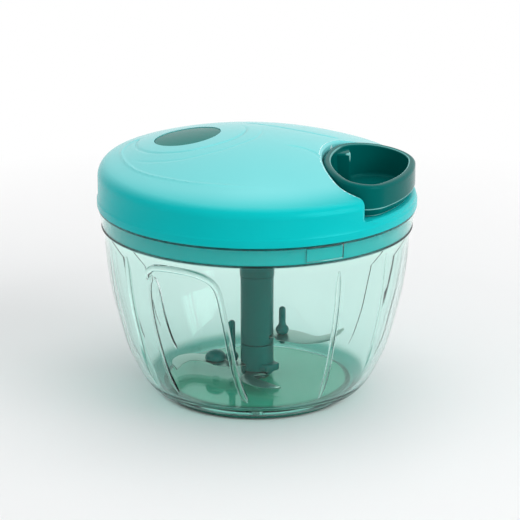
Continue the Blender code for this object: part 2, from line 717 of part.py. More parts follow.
def crown_solid(name, inset, wall_inset, foot, parent):
    """Everything under the lid's top surface, used as a guide."""
    top = crown_profile(inset, wall_inset)
    return turned(name, top + [(top[-1][0], foot), (0.0, foot)], None, parent, BIG_SEGMENTS, bend=lid_bend)


def corner_centre(radius, side):
    """Centre of the round corner that touches the handle's outer arc and its nose arc inside."""
    span = math.hypot(NOSE_CENTRE_X, NOSE_SIDE)
    from_axis = HANDLE_OUTER_RADIUS - radius
    from_nose = NOSE_RADIUS - radius
    along = (from_axis ** 2 - from_nose ** 2 + span ** 2) / (2 * span)
    aside = side * math.sqrt(from_axis ** 2 - along ** 2)
    toward = (NOSE_CENTRE_X / span, NOSE_SIDE / span)
    return (along * toward[0] - aside * toward[1], along * toward[1] + aside * toward[0])


def heading(centre, origin=(0.0, 0.0)):
    return math.atan2(centre[1] - origin[1], centre[0] - origin[0])


def handle_outline(grow=0.0):
    """The handle seen from above: outer arc, back corner, nose arc and front corner, grown evenly."""
    nose = (NOSE_CENTRE_X, NOSE_SIDE)
    front = corner_centre(FRONT_CORNER_RADIUS, -1.0)
    back = corner_centre(BACK_CORNER_RADIUS, 1.0)
    outer = HANDLE_OUTER_RADIUS + grow
    back_turn = heading(back, nose)
    front_turn = heading(front, nose) + math.tau
    points = arc((0.0, 0.0), outer, heading(front), heading(back), ARC_STEPS + 2)[:-1]
    points += arc(back, BACK_CORNER_RADIUS + grow, heading(back), back_turn, ARC_STEPS)[:-1]
    points += arc(nose, NOSE_RADIUS + grow, back_turn, front_turn, ARC_STEPS + 2)[:-1]
    points += arc(front, FRONT_CORNER_RADIUS + grow, front_turn, heading(front) + math.tau, ARC_STEPS)[:-1]
    return points


def pocket_outline(grow):
    """The handle's room in the lid: its nose and corners, then straight flanks out through the wall."""
    nose = (NOSE_CENTRE_X, NOSE_SIDE)
    front = corner_centre(FRONT_CORNER_RADIUS, -1.0)
    back = corner_centre(BACK_CORNER_RADIUS, 1.0)
    back_turn = heading(back, nose)
    front_turn = heading(front, nose) + math.tau
    outside = LID_RADIUS + OVERRUN
    back_radius = BACK_CORNER_RADIUS + grow
    front_radius = FRONT_CORNER_RADIUS + grow
    points = [(outside, front[1] - front_radius), (outside, back[1] + back_radius)]
    points += arc(back, back_radius, math.pi / 2, back_turn, ARC_STEPS)[:-1]
    points += arc(nose, NOSE_RADIUS + grow, back_turn, front_turn, ARC_STEPS + 2)[:-1]
    points += arc(front, front_radius, front_turn, 1.5 * math.pi, ARC_STEPS)
    return points


def rim_height(x):
    """Height of the handle's rim, which falls along the pull direction."""
    return HANDLE_NOSE_TOP - HANDLE_RIM_SLOPE_SHARE * (x - NOSE_TIP)


def nose_x(side, grow=0.0):
    """Where the nose arc crosses a line beside the handle's middle."""
    reach = NOSE_RADIUS + grow
    return NOSE_CENTRE_X - math.sqrt(reach ** 2 - (side - NOSE_SIDE) ** 2)


def along_pull(name, profile, surface, parent, segments=SMALL_SEGMENTS):
    """Turn (radius, distance) points about the cord's straight line."""
    bm = bmesh.new()
    points = [bm.verts.new((distance, 0.0, radius)) for radius, distance in profile]
    edges = [bm.edges.new(pair) for pair in zip(points, points[1:])]
    if profile[0][0] or profile[-1][0]:
        edges.append(bm.edges.new((points[-1], points[0])))
    bmesh.ops.spin(
        bm, geom=points + edges, cent=(0.0, 0.0, 0.0), axis=(1.0, 0.0, 0.0),
        angle=math.tau, steps=segments, use_merge=True,
    )
    bmesh.ops.remove_doubles(bm, verts=bm.verts[:], dist=EMBED / segments)
    bmesh.ops.translate(bm, verts=bm.verts[:], vec=(0.0, WINDING_RADIUS, CORD_HEIGHT))
    return make(name, bm, surface, parent)


def block(name, low, high, parent):
    bm = bmesh.new()
    bmesh.ops.create_cube(bm, size=1.0)
    size = [far - near for near, far in zip(low, high)]
    middle = [(far + near) / 2 for near, far in zip(low, high)]
    bmesh.ops.transform(bm, matrix=Matrix.LocRotScale(Vector(middle), None, Vector(size)), verts=bm.verts[:])
    return make(name, bm, parent=parent)


def make_lid_cover(surface, parent, pull_frame):
    """Domed outer shell with the handle's pocket, the inlay's recess, screw pillars and the arbor."""
    wall = LID_WALL_RADIUS
    top = crown_profile(0.0, 0.0)
    profile = top + [
        (wall, LIP_FOOT + LIP_HEIGHT + LIP_STEP), (LID_RADIUS, LIP_FOOT + LIP_HEIGHT),
        (LID_RADIUS, LIP_FOOT + RIM_ROUND), (LID_RADIUS - RIM_ROUND, LIP_FOOT), (0.0, LIP_FOOT),
    ]
    cover = turned("lid_cover", profile, surface, parent, BIG_SEGMENTS, bend=lid_bend)
    cavity = crown_solid("lid_cavity", LID_SHELL, LID_SHELL, LIP_FOOT - OVERRUN, parent)
    above = CROWN_TOP + OVERRUN
    pocket = prism("handle_pocket", pocket_outline(POCKET_GAP), POCKET_FLOOR, above, parent=pull_frame)
    liner = prism(
        "pocket_liner", pocket_outline(POCKET_GAP + LID_SHELL), POCKET_FLOOR - LID_SHELL, above + OVERRUN,
        parent=pull_frame,
    )
    cut(cavity, liner)
    for number, azimuth in enumerate(SCREW_AZIMUTHS, 1):
        place = polar(SCREW_CIRCLE, azimuth, 0.0)
        outline = circle(PILLAR_RADIUS, SMALL_SEGMENTS, place)
        pillar = prism(f"pillar_{number}", outline, PILLAR_FOOT, above, parent=parent)
        cut(cavity, pillar)
    arbor = prism("arbor", circle(ARBOR_RADIUS, SMALL_SEGMENTS), ARBOR_FOOT, above, parent=parent)
    guide_end = nose_x(WINDING_RADIUS, POCKET_GAP)
    guide_start = guide_end - LID_SHELL - GUIDE_LENGTH
    boss_radius = GUIDE_RADIUS + CLEARANCE + GUIDE_BOSS_WALL
    boss = along_pull(
        "guide_boss",
        [(0.0, guide_start), (boss_radius, guide_start), (boss_radius, guide_end), (0.0, guide_end)],
        None, pull_frame,
    )
    cut(cavity, arbor, boss)
    cut(cover, pocket, cavity)
    recess = prism("inlay_recess", inlay_outline(CLEARANCE), POCKET_FLOOR, above, parent=parent)
    recess_floor = INLAY_SINK + INLAY_THICKNESS + CLEARANCE
    cut(recess, crown_solid("recess_floor", recess_floor, recess_floor, LIP_FOOT, parent))
    cut(cover, recess)
    for number, azimuth in enumerate(SCREW_AZIMUTHS, 1):
        place = polar(SCREW_CIRCLE, azimuth, 0.0)
        depth = SCREW_SEAT + SCREW_LENGTH + CLEARANCE
        hole = prism(
            f"pillar_hole_{number}", circle(SCREW_SHANK + CLEARANCE, SMALL_SEGMENTS, place),
            PILLAR_FOOT - OVERRUN, depth, parent=parent,
        )
        cut(cover, hole)
    bore = prism(
        "arbor_bore", circle(AXLE_BORE, SMALL_SEGMENTS), ARBOR_FOOT - OVERRUN, AXLE_TOP + CLEARANCE,
        parent=parent,
    )
    seat = guide_end - LID_SHELL
    bored = GUIDE_RADIUS + CLEARANCE
    start = guide_start - OVERRUN
    eyelet_bore = along_pull(
        "eyelet_bore", [(0.0, start), (bored, start), (bored, seat), (0.0, seat)], None, pull_frame
    )
    free = CORD_RADIUS + CLEARANCE
    way_out = along_pull(
        "cord_way_out",
        [(0.0, start), (free, start), (free, guide_end + OVERRUN), (0.0, guide_end + OVERRUN)],
        None, pull_frame,
    )
    return cut(cover, bore, eyelet_bore, way_out)


def inlay_outline(grow):
    """An oval seen from above, turned on the lid."""
    turn = math.radians(INLAY_TURN)
    points = []
    for x, y in circle(1.0, MID_SEGMENTS):
        along = x * (INLAY_HALF_LENGTH + grow)
        aside = y * (INLAY_HALF_WIDTH + grow)
        points.append((
            along * math.cos(turn) - aside * math.sin(turn) - INLAY_LEFT,
            along * math.sin(turn) + aside * math.cos(turn) + INLAY_BACK,
        ))
    return points


def make_lid_inlay(surface, parent):
    """Dark oval plate that follows the lid's crown."""
    inlay = prism("lid_inlay", inlay_outline(0.0), POCKET_FLOOR, CROWN_TOP + OVERRUN, surface, parent)
    under = INLAY_SINK + INLAY_THICKNESS
    cut(inlay, crown_solid("inlay_underside", under, under, LIP_FOOT, parent))
    keep = crown_solid("inlay_top", INLAY_SINK, INLAY_SINK, LIP_FOOT, parent)
    combine(inlay, keep, "INTERSECT")
    return inlay


def make_lid_base(surface, parent):
    """Plate and skirt that close the lid from below, with lugs and screw bosses."""
    flange = BASE_FLANGE_RADIUS
    inner = SKIRT_RADIUS - SKIRT_WALL
    shaft_hole = HEX_SHAFT_RADIUS + CLEARANCE
    profile = [
        (shaft_hole, SKIRT_FOOT), (SKIRT_RADIUS - RIM_ROUND, SKIRT_FOOT),
        (SKIRT_RADIUS, SKIRT_FOOT + RIM_ROUND), (SKIRT_RADIUS, LIP_FOOT + CLEARANCE),
        (flange, LIP_FOOT + CLEARANCE), (flange, BASE_TOP), (flange - BASE_FLANGE_WALL, BASE_TOP),
        (inner, LIP_FOOT), (inner, PLATE_TOP), (SHAFT_NECK_RADIUS, PLATE_TOP),
        (SHAFT_NECK_RADIUS, NECK_TOP), (shaft_hole, NECK_TOP),
    ]
    base = turned("lid_base", profile, surface, parent, BIG_SEGMENTS)
    inside = SKIRT_RADIUS - SKIRT_WALL / 2
    for number, azimuth in enumerate(LUG_AZIMUTHS, 1):
        lug = sector(
            f"lid_lug_{number}", inside, SKIRT_RADIUS + LUG_PROUD, LUG_LOW, LUG_LOW + LUG_HEIGHT,
            azimuth, LUG_WIDTH, parent,
        )
        join(base, lug)
    for number, azimuth in enumerate(SCREW_AZIMUTHS, 1):
        place = polar(SCREW_CIRCLE, azimuth, 0.0)
        boss = prism(
            f"screw_boss_{number}", circle(SCREW_BOSS_RADIUS, SMALL_SEGMENTS, place),
            SKIRT_FOOT + EMBED, PLATE_TOP + SCREW_BOSS_HEIGHT, parent=parent,
        )
        join(base, boss)
        head = prism(
            f"head_recess_{number}", circle(SCREW_HEAD + CLEARANCE, SMALL_SEGMENTS, place),
            SKIRT_FOOT - OVERRUN, SCREW_SEAT, parent=parent,
        )
        shank = prism(
            f"shank_hole_{number}", circle(SCREW_SHANK + CLEARANCE, SMALL_SEGMENTS, place),
            SKIRT_FOOT, PILLAR_FOOT + OVERRUN, parent=parent,
        )
        cut(base, head, shank)
    return base


def make_lid_screw(number, azimuth, surface, parent):
    """Self-tapping screw, head down, with a cross slot."""
    place = polar(SCREW_CIRCLE, azimuth, 0.0)
    head_low = SCREW_SEAT - SCREW_HEAD_HEIGHT
    tip = SCREW_SEAT + SCREW_LENGTH
    profile = [
        (0.0, head_low), (SCREW_HEAD - RIM_ROUND, head_low), (SCREW_HEAD, head_low + RIM_ROUND),
        (SCREW_HEAD, SCREW_SEAT - CLEARANCE), (SCREW_SHANK, SCREW_SEAT - CLEARANCE),
        (SCREW_SHANK, tip - 2 * SCREW_SHANK), (0.0, tip),
    ]
    screw = turned(f"lid_screw_{number}", profile, surface, parent, SMALL_SEGMENTS, (place.x, place.y))
    arm = SCREW_HEAD * 2 / 3
    half = SCREW_SLOT / 2
    low = head_low - OVERRUN
    high = head_low + SCREW_HEAD_HEIGHT / 2
    for letter, wide, deep in (("a", arm, half), ("b", half, arm)):
        near = (place.x - wide, place.y - deep, low)
        far = (place.x + wide, place.y + deep, high)
        cut(screw, block(f"slot_{letter}_{number}", near, far, parent))
    return screw


def make_reel_axle(surface, parent):
    profile = [
        (0.0, AXLE_FOOT), (AXLE_RADIUS - RIM_ROUND, AXLE_FOOT), (AXLE_RADIUS, AXLE_FOOT + RIM_ROUND),
        (AXLE_RADIUS, AXLE_TOP), (0.0, AXLE_TOP),
    ]
    return turned("reel_axle", profile, surface, parent, SMALL_SEGMENTS)


def make_reel_washer(surface, parent):
    outer = AXLE_BORE + WASHER_WALL
    top = WASHER_FOOT + WASHER_THICKNESS
    profile = [(AXLE_BORE, WASHER_FOOT), (outer, WASHER_FOOT), (outer, top), (AXLE_BORE, top)]
    return turned("reel_washer", profile, surface, parent, SMALL_SEGMENTS)


def make_cord_guide(surface, pull_frame):
    """Smooth eyelet that the cord runs out through."""
    end = nose_x(WINDING_RADIUS, POCKET_GAP) - LID_SHELL - CLEARANCE
    start = end - GUIDE_LENGTH
    bore = CORD_RADIUS + CLEARANCE
    profile = [
        (bore + RIM_ROUND, start - GUIDE_FLANGE), (GUIDE_FLANGE_RADIUS, start - GUIDE_FLANGE),
        (GUIDE_FLANGE_RADIUS, start), (GUIDE_RADIUS, start), (GUIDE_RADIUS, end), (bore, end),
        (bore, start - GUIDE_FLANGE + RIM_ROUND),
    ]
    return along_pull("cord_guide", profile, surface, pull_frame)


def ratchet_outline():
    """Saw teeth inside the reel's ring: each rises slowly and drops at once."""
    pitch = math.tau / RATCHET_TEETH
    points = []
    for tooth in range(RATCHET_TEETH):
        start = tooth * pitch
        middle = (RATCHET_ROOT_RADIUS + RATCHET_TIP_RADIUS) / 2
        drop = pitch * (1.0 - CLEARANCE / RATCHET_TIP_RADIUS)
        for along, radius in ((0.0, RATCHET_ROOT_RADIUS), (pitch / 2, middle), (drop, RATCHET_TIP_RADIUS)):
            turn = start + along
            points.append((radius * math.cos(turn), radius * math.sin(turn)))
    return points


def make_cord_reel(surface, parent):
    """Drum with flanges, a well for the recoil spring above and a ratchet ring below."""
    ring_inner = RATCHET_TIP_RADIUS - CLEARANCE
    ring_foot = ROTOR_FOOT + CLEARANCE
    flange_foot = DRUM_FOOT - REEL_FLANGE
    profile = [
        (AXLE_BORE, WEB_FOOT), (ring_inner, WEB_FOOT), (ring_inner, ring_foot),
        (RATCHET_RING_RADIUS, ring_foot), (RATCHET_RING_RADIUS, flange_foot),
        (REEL_FLANGE_RADIUS, flange_foot), (REEL_FLANGE_RADIUS, DRUM_FOOT), (DRUM_RADIUS, DRUM_FOOT),
        (DRUM_RADIUS, DRUM_TOP), (REEL_FLANGE_RADIUS, DRUM_TOP), (REEL_FLANGE_RADIUS, REEL_TOP),
        (SPRING_BORE, REEL_TOP), (SPRING_BORE, DRUM_FOOT), (HUB_RADIUS, DRUM_FOOT), (HUB_RADIUS, HUB_TOP),
        (AXLE_BORE, HUB_TOP),
    ]
    reel = turned("cord_reel", profile, surface, parent, MID_SEGMENTS)
    low, high = ROTOR_FOOT - OVERRUN, WEB_FOOT - CLEARANCE
    return cut(reel, prism("ratchet_teeth", ratchet_outline(), low, high, parent=parent))


def make_spring_cap(surface, parent):
    outer = REEL_FLANGE_RADIUS - CAP_INSET
    hole = ARBOR_RADIUS + CLEARANCE
    top = CAP_FOOT + CAP_THICKNESS
    profile = [(hole, CAP_FOOT), (outer, CAP_FOOT), (outer, top), (hole, top)]
    return turned("spring_cap", profile, surface, parent, MID_SEGMENTS)


def make_recoil_spring(surface, parent):
    """Flat steel strip wound from beside the arbor out to the drum's wall."""
    inner = HUB_RADIUS + CLEARANCE + SPRING_STRIP
    outer = SPRING_BORE - CLEARANCE - SPRING_STRIP
    low = DRUM_FOOT + CLEARANCE
    high = low + SPRING_HEIGHT
    count = int(SPRING_TURNS * SPRING_POINTS)
    rings = []
    for step in range(count + 1):
        turn = math.tau * SPRING_TURNS * step / count
        radius = inner + (outer - inner) * step / count
        half = SPRING_STRIP / 2
        corners = ((radius - half, low), (radius + half, low), (radius + half, high), (radius - half, high))
        rings.append([polar(reach, math.degrees(turn), height) for reach, height in corners])
    return lofted("recoil_spring", rings, surface, parent)


def winding_points():
    """One unbroken helix on the drum that ends where the cord leaves it for the handle."""
    count = int(WINDING_TURNS * WINDING_POINTS)
    points = []
    for step in range(count + 1):
        share = step / count
        turn = PULL + math.pi / 2 + math.tau * WINDING_TURNS * (1.0 - share)
        height = WINDING_FOOT + (CORD_HEIGHT - WINDING_FOOT) * share
        points.append(Vector((WINDING_RADIUS * math.cos(turn), WINDING_RADIUS * math.sin(turn), height)))
    return points


def least_gap(points, radius, apart):
    """Smallest free space between stretches of a tube that lie at least apart points from each other."""
    nearest = min(
        (points[a] - points[b]).length
        for a in range(len(points)) for b in range(a + apart, len(points))
    )
    return nearest - 2 * radius


def make_cord_winding(surface, parent):
    points = winding_points()
    print("least gap of the winding to itself, m:", least_gap(points, CORD_RADIUS, WINDING_POINTS * 3 // 4))
    return tube("cord_winding", points, CORD_RADIUS, surface, parent, 1)


def make_clutch_rotor(surface, parent):
    """Disc on the hexagon of the output shaft, with springy pawls that catch the reel's teeth."""
    rotor = prism("clutch_rotor", circle(ROTOR_RADIUS, MID_SEGMENTS), ROTOR_FOOT, ROTOR_TOP, surface, parent)
    sweep = math.radians(PAWL_SWEEP)
    tip_reach = RATCHET_TIP_RADIUS - PAWL_TIP_GAP
    for number in range(PAWL_COUNT):
        start = math.tau * number / PAWL_COUNT
        outer_side, inner_side = [], []
        for step in range(PAWL_STEPS + 1):
            share = step / PAWL_STEPS
            turn = start + sweep * share
            radius = ROTOR_RADIUS + (tip_reach - ROTOR_RADIUS) * share
            outer_side.append((radius * math.cos(turn), radius * math.sin(turn)))
            under = radius - PAWL_THICKNESS
            inner_side.append((under * math.cos(turn), under * math.sin(turn)))
        outline = outer_side + inner_side[::-1]
        low, high = ROTOR_FOOT + EMBED, ROTOR_TOP - EMBED
        join(rotor, prism(f"pawl_{number + 1}", outline, low, high, parent=parent))
    hexagon = circle(HEX_SHAFT_RADIUS + 2 * CLEARANCE, HEX_SIDES)
    low, high = ROTOR_FOOT - OVERRUN, ROTOR_TOP + OVERRUN
    return cut(rotor, prism("rotor_hexagon", hexagon, low, high, parent=parent))


def make_output_coupling(surface, parent):
    """Dark sleeve under the lid: hexagon above for the rotor, hexagon below for the blade unit."""
    round_in = SLEEVE_RADIUS - SLEEVE_ROUND
    profile = [
        (0.0, SLEEVE_FOOT), (round_in, SLEEVE_FOOT), (SLEEVE_RADIUS, SLEEVE_FOOT + SLEEVE_ROUND),
        (SLEEVE_RADIUS, SLEEVE_TOP - SLEEVE_ROUND), (round_in, SLEEVE_TOP), (SHAFT_RADIUS, SLEEVE_TOP),
        (SHAFT_RADIUS, ROTOR_TOP), (0.0, ROTOR_TOP),
    ]
    coupling = turned("output_coupling", profile, surface, parent, MID_SEGMENTS)
    dog_outline = circle(DOG_RADIUS, HEX_SIDES)
    dog = prism("drive_dog", dog_outline, SLEEVE_FOOT - DOG_LENGTH, SLEEVE_FOOT + EMBED, parent=parent)
    hexagon_outline = circle(HEX_SHAFT_RADIUS, HEX_SIDES)
    hexagon = prism("shaft_hexagon", hexagon_outline, ROTOR_FOOT, ROTOR_TOP - EMBED, parent=parent)
    bore_outline = circle(AXLE_BORE, SMALL_SEGMENTS)
    bore = prism("shaft_bore", bore_outline, AXLE_FOOT - CLEARANCE, ROTOR_TOP + OVERRUN, parent=parent)
    return cut(join(coupling, dog, hexagon), bore)


def blade_slot(name, height, turn, parent):
    """Room for a blade's tang in the column or the hub."""
    half = TANG_HALF_WIDTH + CLEARANCE
    tall = BLADE_THICKNESS / 2 + CLEARANCE
    near = (TANG_END - CLEARANCE, -half, height - tall)
    far = (COLUMN_RADIUS + OVERRUN, half, height + tall)
    slot = block(name, near, far, parent)
    slot.rotation_euler.z = math.radians(turn)
    return slot


def make_blade_column(surface, parent):
    """Round column with the drive socket on top, the upper blade's slot and a spigot below."""
    inner = COLUMN_RADIUS - COLUMN_ROUND
    seam = COLUMN_SEAM + CLEARANCE
    spigot_foot = COLUMN_SEAM - SPIGOT_LENGTH + CLEARANCE
    profile = [
        (0.0, COLUMN_TOP), (inner, COLUMN_TOP), (COLUMN_RADIUS, COLUMN_TOP - COLUMN_ROUND),
        (COLUMN_RADIUS, seam + COLUMN_ROUND), (inner, seam), (SPIGOT_RADIUS, seam),
        (SPIGOT_RADIUS, spigot_foot), (PIN_BORE, spigot_foot), (PIN_BORE, PIN_TOP + CLEARANCE),
        (0.0, PIN_TOP + CLEARANCE),
    ]
    column = turned("blade_column", profile, surface, parent, MID_SEGMENTS)
    socket = prism(
        "drive_socket", circle(DOG_RADIUS + 2 * CLEARANCE, HEX_SIDES),
        SLEEVE_FOOT - DOG_LENGTH - CLEARANCE, COLUMN_TOP + OVERRUN, parent=parent,
    )
    return cut(column, socket, blade_slot("upper_slot", UPPER_BLADE_HEIGHT, UPPER_BLADE_TURN, parent))


def make_blade_hub(surface, parent):
    """Lower hub that turns on the bowl's pin, with a pointed sweeping fin."""
    inner = COLUMN_RADIUS - COLUMN_ROUND
    socket = SPIGOT_RADIUS + CLEARANCE
    socket_floor = COLUMN_SEAM - SPIGOT_LENGTH
    profile = [
        (PIN_BORE, HUB_FOOT), (inner, HUB_FOOT), (COLUMN_RADIUS, HUB_FOOT + COLUMN_ROUND),
        (COLUMN_RADIUS, COLUMN_SEAM - COLUMN_ROUND), (inner, COLUMN_SEAM), (socket, COLUMN_SEAM),
        (socket, socket_floor), (PIN_BORE, socket_floor),
    ]
    hub = turned("blade_hub", profile, surface, parent, MID_SEGMENTS)
    fin_low = HUB_FOOT + FIN_LIFT
    outline = [(along * FIN_REACH, aside * FIN_REACH) for along, aside in FIN_SHARES]
    fin = prism("hub_fin", outline, fin_low, fin_low + FIN_THICKNESS, parent=parent)
    middle_slot = blade_slot("middle_slot", MIDDLE_BLADE_HEIGHT, MIDDLE_BLADE_TURN, parent)
    lower_slot = blade_slot("lower_slot", LOWER_BLADE_HEIGHT, LOWER_BLADE_TURN, parent)
    return cut(join(hub, fin), middle_slot, lower_slot)


def blade_ring(near, far, lift):
    """Section across a blade between its two edges, thick in the middle and sharp at both edges."""
    body, edge = BLADE_THICKNESS / 2, EDGE_THICKNESS / 2
    outline = ((0.0, -edge), (GRIND_SHARE, -body), (1.0 - GRIND_SHARE, -body), (1.0, -edge))
    outline += ((1.0, edge), (1.0 - GRIND_SHARE, body), (GRIND_SHARE, body), (0.0, edge))
    ring = []
    for share, up in outline:
        x = near[0] + (far[0] - near[0]) * share
        y = near[1] + (far[1] - near[1]) * share
        ring.append(Vector((x, y, up + lift)))
    return ring


def blade_rings(reach, shares):
    """Sections from the tang's end in its slot out to the tip."""
    half = TANG_HALF_WIDTH
    outside = COLUMN_RADIUS + CLEARANCE
    rings = [blade_ring((place, half), (place, -half), 0.0) for place in (TANG_END, outside)]
    for near_x, near_y, far_x, far_y, lift in shares:
        near, far = (near_x * reach, near_y * reach), (far_x * reach, far_y * reach)
        rings.append(blade_ring(near, far, lift * reach))
    return rings


def peg_holes(name, places, height, parent):
    """Cutters for the holes that the pegs' necks pass through."""
    return [
        prism(
            f"{name}_{number}", circle(PEG_NECK_RADIUS + CLEARANCE, SMALL_SEGMENTS // 2, place),
            height - OVERRUN, height + OVERRUN, parent=parent,
        )
        for number, place in enumerate(places, 1)
    ]


def make_blade(name, reach, shares, height, turn, places, surface, parent):
    """Curved steel blade whose tang sits in a slot, with holes for its pegs."""
    bm = bmesh.new()
    skin(bm, blade_rings(reach, shares))
    bmesh.ops.translate(bm, verts=bm.verts[:], vec=(0.0, 0.0, height))
    blade = make(name, bm, surface, parent)
    blade.rotation_euler.z = math.radians(turn)
    holes = peg_holes(f"{name}_hole", places, height, parent)
    for hole in holes:
        hole.rotation_euler.z = math.radians(turn)
    return cut(blade, *holes)


def make_peg(name, place, height, turn, tall, base, drop, surface, parent):
    """Plastic peg clipped through the blade: nub below, round base and stem above."""
    top = height + BLADE_THICKNESS / 2 + CLEARANCE
    under = height - BLADE_THICKNESS / 2 - CLEARANCE
    stem = PEG_STEM_RADIUS
    profile = [(PEG_NUB_RADIUS * reach, under - drop * share) for reach, share in PEG_NUB_SHARES]
    profile += [(PEG_NECK_RADIUS, under), (PEG_NECK_RADIUS, top)]
    profile += [(base * reach, top + base * rise) for reach, rise in PEG_FOOT_SHARES]
    profile += [(stem, top + 2 * base)]
    profile += [(stem * reach, top + tall - stem * below) for reach, below in PEG_TIP_SHARES]
    peg = turned(name, profile, surface, parent, SMALL_SEGMENTS, place)
    peg.rotation_euler.z = math.radians(turn)
    return peg


def make_clip(place, surface, parent):
    """Flat-footed dome clipped through the middle blade."""
    top = MIDDLE_BLADE_HEIGHT + BLADE_THICKNESS / 2 + CLEARANCE
    under = MIDDLE_BLADE_HEIGHT - BLADE_THICKNESS / 2 - CLEARANCE
    low = under - SHORT_NUB_DROP
    profile = [(0.0, low), (PEG_NUB_RADIUS, low), (PEG_NUB_RADIUS, under), (PEG_NECK_RADIUS, under)]
    profile += [(PEG_NECK_RADIUS, top)]
    profile += [(CLIP_RADIUS * reach, top + CLIP_HEIGHT * rise) for reach, rise in CLIP_SHARES]
    clip = turned("blade_clip", profile, surface, parent, SMALL_SEGMENTS, place)
    clip.rotation_euler.z = math.radians(MIDDLE_BLADE_TURN)
    return clip


def handle_rings():
    """Rings of the cup's skin: up its outside, over the sloping rim and down to its floor."""
    floor = HANDLE_BOTTOM + HANDLE_FLOOR
    well = -HANDLE_WALL - HANDLE_DRAFT
    outside = ((-HANDLE_CHAMFER, HANDLE_BOTTOM), (0.0, HANDLE_BOTTOM + HANDLE_CHAMFER_HEIGHT))
    rim = (
        (0.0, RIM_OUTER_ROUND), (-RIM_OUTER_ROUND / 3, RIM_OUTER_ROUND / 3), (-RIM_OUTER_ROUND, 0.0),
        (-HANDLE_WALL + RIM_INNER_ROUND, 0.0), (-HANDLE_WALL, RIM_INNER_ROUND),
    )
    inside = ((well, floor + WELL_ROUND), (well - WELL_ROUND / 3, floor + WELL_ROUND / 3))
    inside += ((well - WELL_ROUND, floor),)
    rings = [[Vector((x, y, height)) for x, y in handle_outline(grow)] for grow, height in outside]
    rings += [[Vector((x, y, rim_height(x) - drop)) for x, y in handle_outline(grow)] for grow, drop in rim]
    rings += [[Vector((x, y, height)) for x, y in handle_outline(grow)] for grow, height in inside]
    return rings


def anchor_outline():
    """The cord's anchor seen from above: a block from the knot to the back wall, turned against the pull."""
    turn = math.radians(ANCHOR_TURN)
    middle = KNOT_FACE_X - KNOT_LENGTH / 2
    inward = -HANDLE_DEPTH / 2
    points = []
    for along, aside in (
        (inward, -ANCHOR_FRONT), (ANCHOR_BEYOND, -ANCHOR_FRONT),
        (ANCHOR_BEYOND, ANCHOR_BACK), (inward, ANCHOR_BACK),
    ):
        x = middle + along * math.cos(turn) - aside * math.sin(turn)
        points.append((x, WINDING_RADIUS + along * math.sin(turn) + aside * math.cos(turn)))
    return points


def make_pull_handle(surface, pull_frame):
    """Closed cup for the fingers, with a sloping rim and the cord's anchor inside its nose."""
    handle = lofted("pull_handle", handle_rings(), surface, pull_frame)
    foot = HANDLE_BOTTOM + HANDLE_FLOOR - EMBED
    anchor_top = rim_height(KNOT_FACE_X + ANCHOR_BEYOND) - ANCHOR_SINK
    anchor = prism("anchor", anchor_outline(), foot, anchor_top, parent=pull_frame)
    inside_wall = handle_outline(-HANDLE_WALL / 2)
    bound = prism("anchor_bound", inside_wall, HANDLE_BOTTOM, CROWN_TOP, parent=pull_frame)
    combine(anchor, bound, "INTERSECT")
    join(handle, anchor)
    room = KNOT_RADIUS + CLEARANCE
    near = (KNOT_FACE_X - KNOT_LENGTH - CLEARANCE, WINDING_RADIUS - room, HANDLE_BOTTOM - OVERRUN)
    far = (KNOT_FACE_X + CLEARANCE, WINDING_RADIUS + room, CORD_HEIGHT + room)
    pocket = block("knot_pocket", near, far, pull_frame)
    free = CORD_RADIUS + CLEARANCE
    start, end = nose_x(WINDING_RADIUS) - OVERRUN, KNOT_FACE_X
    way = along_pull("cord_hole", [(0.0, start), (free, start), (free, end), (0.0, end)], None, pull_frame)
    return cut(handle, pocket, way)


def make_cord_knot(surface, pull_frame):
    """Knot that holds the cord's end in the handle."""
    start = KNOT_FACE_X - KNOT_LENGTH
    profile = [(KNOT_RADIUS * reach, start + KNOT_LENGTH * along) for reach, along in KNOT_SHARES]
    return along_pull("cord_knot", [(0.0, start)] + profile + [(0.0, KNOT_FACE_X)], surface, pull_frame)


def make_pull_cord(surface, pull_frame):
    """Straight run from the winding's end through the guide to the knot."""
    start = CLEARANCE
    run = KNOT_FACE_X - KNOT_LENGTH - CLEARANCE - start
    steps = int(run / (4 * CORD_RADIUS))
    places = [start + run * step / steps for step in range(steps + 1)]
    points = [Vector((place, WINDING_RADIUS, CORD_HEIGHT)) for place in places]
    return tube("pull_cord", points, CORD_RADIUS, surface, pull_frame)


